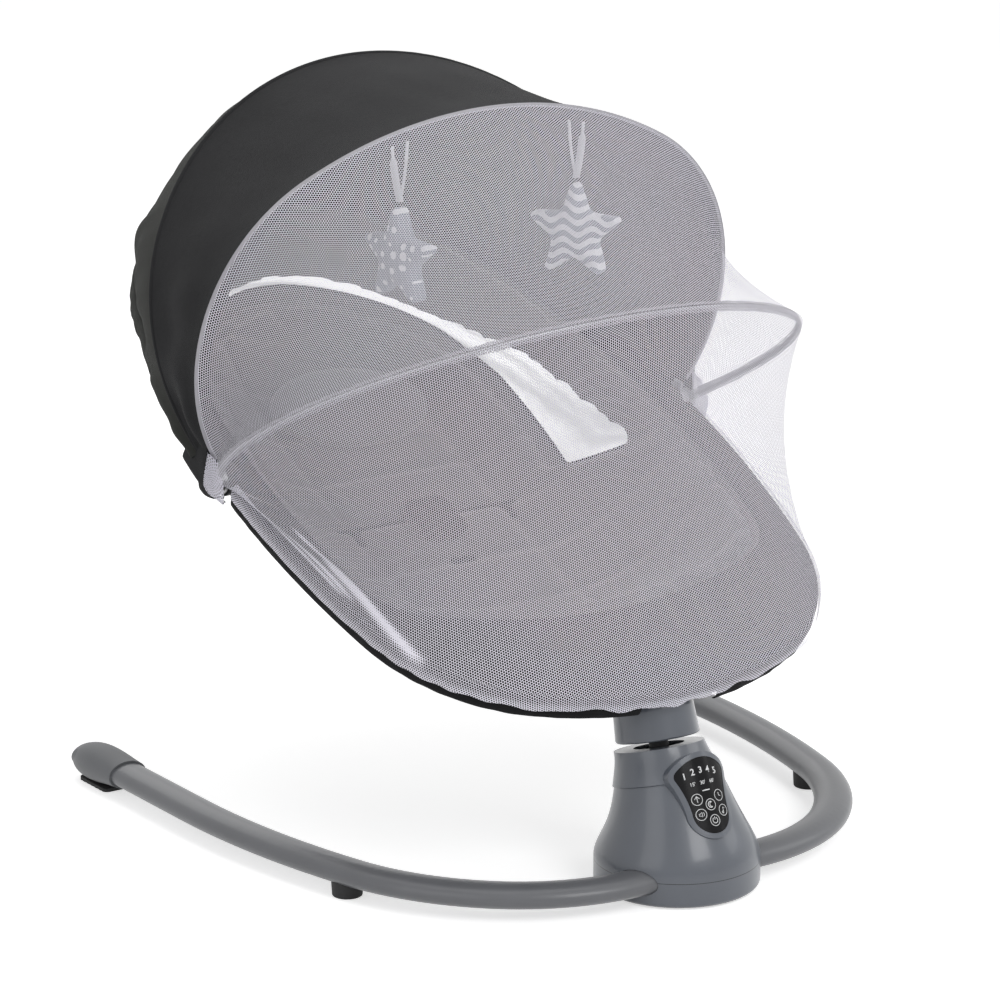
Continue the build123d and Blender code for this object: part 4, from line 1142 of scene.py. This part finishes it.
def on_panel(verts, lift=0.12):
    """Flat points (x, s) laid on the panel's curved face."""
    out = []
    for x, sv in verts:
        start = PANEL_O + np.array([1, 0, 0]) * x + PANEL_UP * sv + PANEL_N * 30
        hit = panel_tree.ray_cast(Vector(start / 1000), Vector(-PANEL_N), 0.08)
        at_pt = np.array(hit[0]) * 1000 if hit[0] is not None else start - PANEL_N * 30
        out.append((at_pt + PANEL_N * lift) / 1000)
    return out


def sign_text(text, x, sv, size):
    """Digits centred on (x, sv) of the panel, in mm."""
    curve = bpy.data.curves.new("text", "FONT")
    curve.body = text
    curve.size = size
    curve.offset = 0.02 * size
    curve.align_x = "CENTER"
    curve.align_y = "CENTER"
    curve.resolution_u = 3
    o = shown_object("text", curve)
    mesh = bpy.data.meshes.new_from_object(o.evaluated_get(bpy.context.evaluated_depsgraph_get()))
    pts = [(v.co.x + x, v.co.y + sv) for v in mesh.vertices]
    faces = [tuple(p.vertices) for p in mesh.polygons]
    bpy.data.objects.remove(o)
    bpy.data.meshes.remove(mesh)
    signs.append(new_object("sign", on_panel(pts), faces))


def sign_shape(points, x, sv, width, closed=True):
    """Stroke of a given width along points round (x, sv)."""
    pts = np.array(points, float) + np.array([x, sv])
    n = len(pts)
    tang = unit(np.roll(pts, -1, 0) - np.roll(pts, 1, 0) if closed else np.gradient(pts, axis=0), 1e-9)
    side_v = np.stack([-tang[:, 1], tang[:, 0]], -1) * width / 2
    verts = list(pts + side_v) + list(pts - side_v)
    faces = [(i, (i + 1) % n, n + (i + 1) % n, n + i) for i in range(n if closed else n - 1)]
    signs.append(new_object("sign", on_panel(verts), faces))


def circle(radius, first=0.0, last=360.0, count=36, cx=0.0, cy=0.0):
    turns = np.radians(np.linspace(first, last, count))
    return [(cx + radius * cos(a), cy + radius * sin(a)) for a in turns]


for digit, x in zip("12345", (-16.2, -8.9, -1.6, 5.6, 12.6)):
    sign_text(digit, x, 51.8 - (x + 1.6) ** 2 * 0.013, 7.4)
for label, x in zip(("15'", "30'", "60'"), (-11.2, -2.2, 7.0)):
    sign_text(label, x, 41.6, 4.1)
sign_shape([(-3.6, 0), (0, 0), (3.6, 0)], -0.8, 35.2, 1.0, closed=False)
RING = circle(4.5)[:-1]
# Each sign: its place on the panel, then its strokes as points, width and whether they close.
ICONS = (
    (-10.8, 29.2, ([(0, -2.4), (0, 0), (0, 2.6)], 0.6, False),
     ([(-2.1, 0.4), (0, 2.6), (2.1, 0.4)], 0.6, False)),
    (10.4, 29.2, ([(0, 2.4), (0, 0), (1.7, -0.9)], 0.6, False)),
    (0.0, 23.2, (circle(2.4, 60, 300, 20), 0.7, False), (circle(1.9, 80, 280, 16, 1.0), 0.6, False)),
    (-10.4, 16.8, ([(-1.9, -0.8), (-1.9, 0.8), (-0.7, 0.8), (0.7, 2.0), (0.7, -2.0), (-0.7, -0.8)], 0.5,
                   True), (circle(2.4, -38, 38, 9), 0.45, False)),
    (11.4, 16.8, (circle(0.8, 0, 340, 12, -0.8, -1.7), 0.6, True),
     ([(0.0, -1.7), (0.0, 0.4), (0.0, 2.3), (1.7, 1.5)], 0.5, False)),
    (0.4, 10.2, (circle(2.3, 120, 420, 22), 0.6, False), ([(0, 0.4), (0, 1.6), (0, 2.9)], 0.6, False)))
for x, sv, *strokes in ICONS:
    sign_shape(RING, x, sv, 0.5)
    for points, width, closed in strokes:
        sign_shape(points, x, sv, width, closed)
print_piece = join("panel_signs", signs)
thicken(print_piece, 0.00008)
dress(print_piece, PRINT, "panel_gloss", "base")

# ---- camera, light, floor
def look(obj, target):
    obj.rotation_euler = (Vector(target) - obj.location).to_track_quat("-Z", "Y").to_euler()


cam = shown_object("camera", bpy.data.cameras.new("camera"))
cam.data.sensor_width = 36
cam.data.lens = 162
cam.data.clip_end = 50
cam.location = (-2.0652, -2.7353, 1.2664)
look(cam, (0, 0.250913, 0.262974))
bpy.context.scene.camera = cam


MIDDLE = (0, 0.2, 0.25)
for name, place, target, size, power in (
        ("key", (0.1, -2.3, 2.1), MIDDLE, (1.3, 1.3), 24), ("left", (-2.2, -0.5, 1.4), MIDDLE, (1.4, 1.4), 6),
        ("right", (2.1, -0.9, 1.5), MIDDLE, (1.4, 1.4), 10),
        ("top", (0.0, 0.6, 2.6), (0, 0.3, 0.2), (2.0, 2.0), 12),
        ("back", (0.6, 2.4, 1.6), (0, 0.3, 0.3), (2.0, 1.2), 8)):
    data = bpy.data.lights.new(name, "AREA")
    data.shape = "RECTANGLE"
    data.size, data.size_y = size
    data.energy = power
    light = shown_object(name, data)
    light.location = place
    look(light, target)

WHITE_SHOWN = ("Is Camera Ray", "Is Glossy Ray", "Is Transmission Ray")


def shown(tree):
    """1 for rays that show the background: from the camera, a reflection or through glass."""
    path = tree.nodes.new("ShaderNodeLightPath")
    total = path.outputs[WHITE_SHOWN[0]]
    for ray in WHITE_SHOWN[1:]:
        either = tree.nodes.new("ShaderNodeMath")
        either.operation = "MAXIMUM"
        tree.links.new(total, either.inputs[0])
        tree.links.new(path.outputs[ray], either.inputs[1])
        total = either.outputs[0]
    return total


world = bpy.data.worlds.new("studio")
world.use_nodes = True
sky = world.node_tree.nodes["Background"]
sky.inputs["Color"].default_value = (1, 1, 1, 1)
strength = world.node_tree.nodes.new("ShaderNodeMapRange")
fill(strength, {"To Min": 0.42, "To Max": 1.0})
world.node_tree.links.new(shown(world.node_tree), strength.inputs["Value"])
world.node_tree.links.new(strength.outputs["Result"], sky.inputs["Strength"])
bpy.context.scene.world = world
bpy.context.scene.view_settings.view_transform = "Standard"

floor = new_object("floor", [(-8, -8, 0), (8, -8, 0), (8, 8, 0), (-8, 8, 0)], [(0, 1, 2, 3)])
fm = material("floor_pale", (0.90, 0.90, 0.90), 0.9, specular=0.0)
kf = Nodes(fm)
glow = kf.add("ShaderNodeMath", operation="MULTIPLY")
glow.inputs[1].default_value = 0.60
kf.link(shown(fm.node_tree), glow.inputs[0])
kf.b.inputs["Emission Color"].default_value = (1, 1, 1, 1)
kf.link(glow.outputs[0], "Emission Strength")
paint(floor, fm)
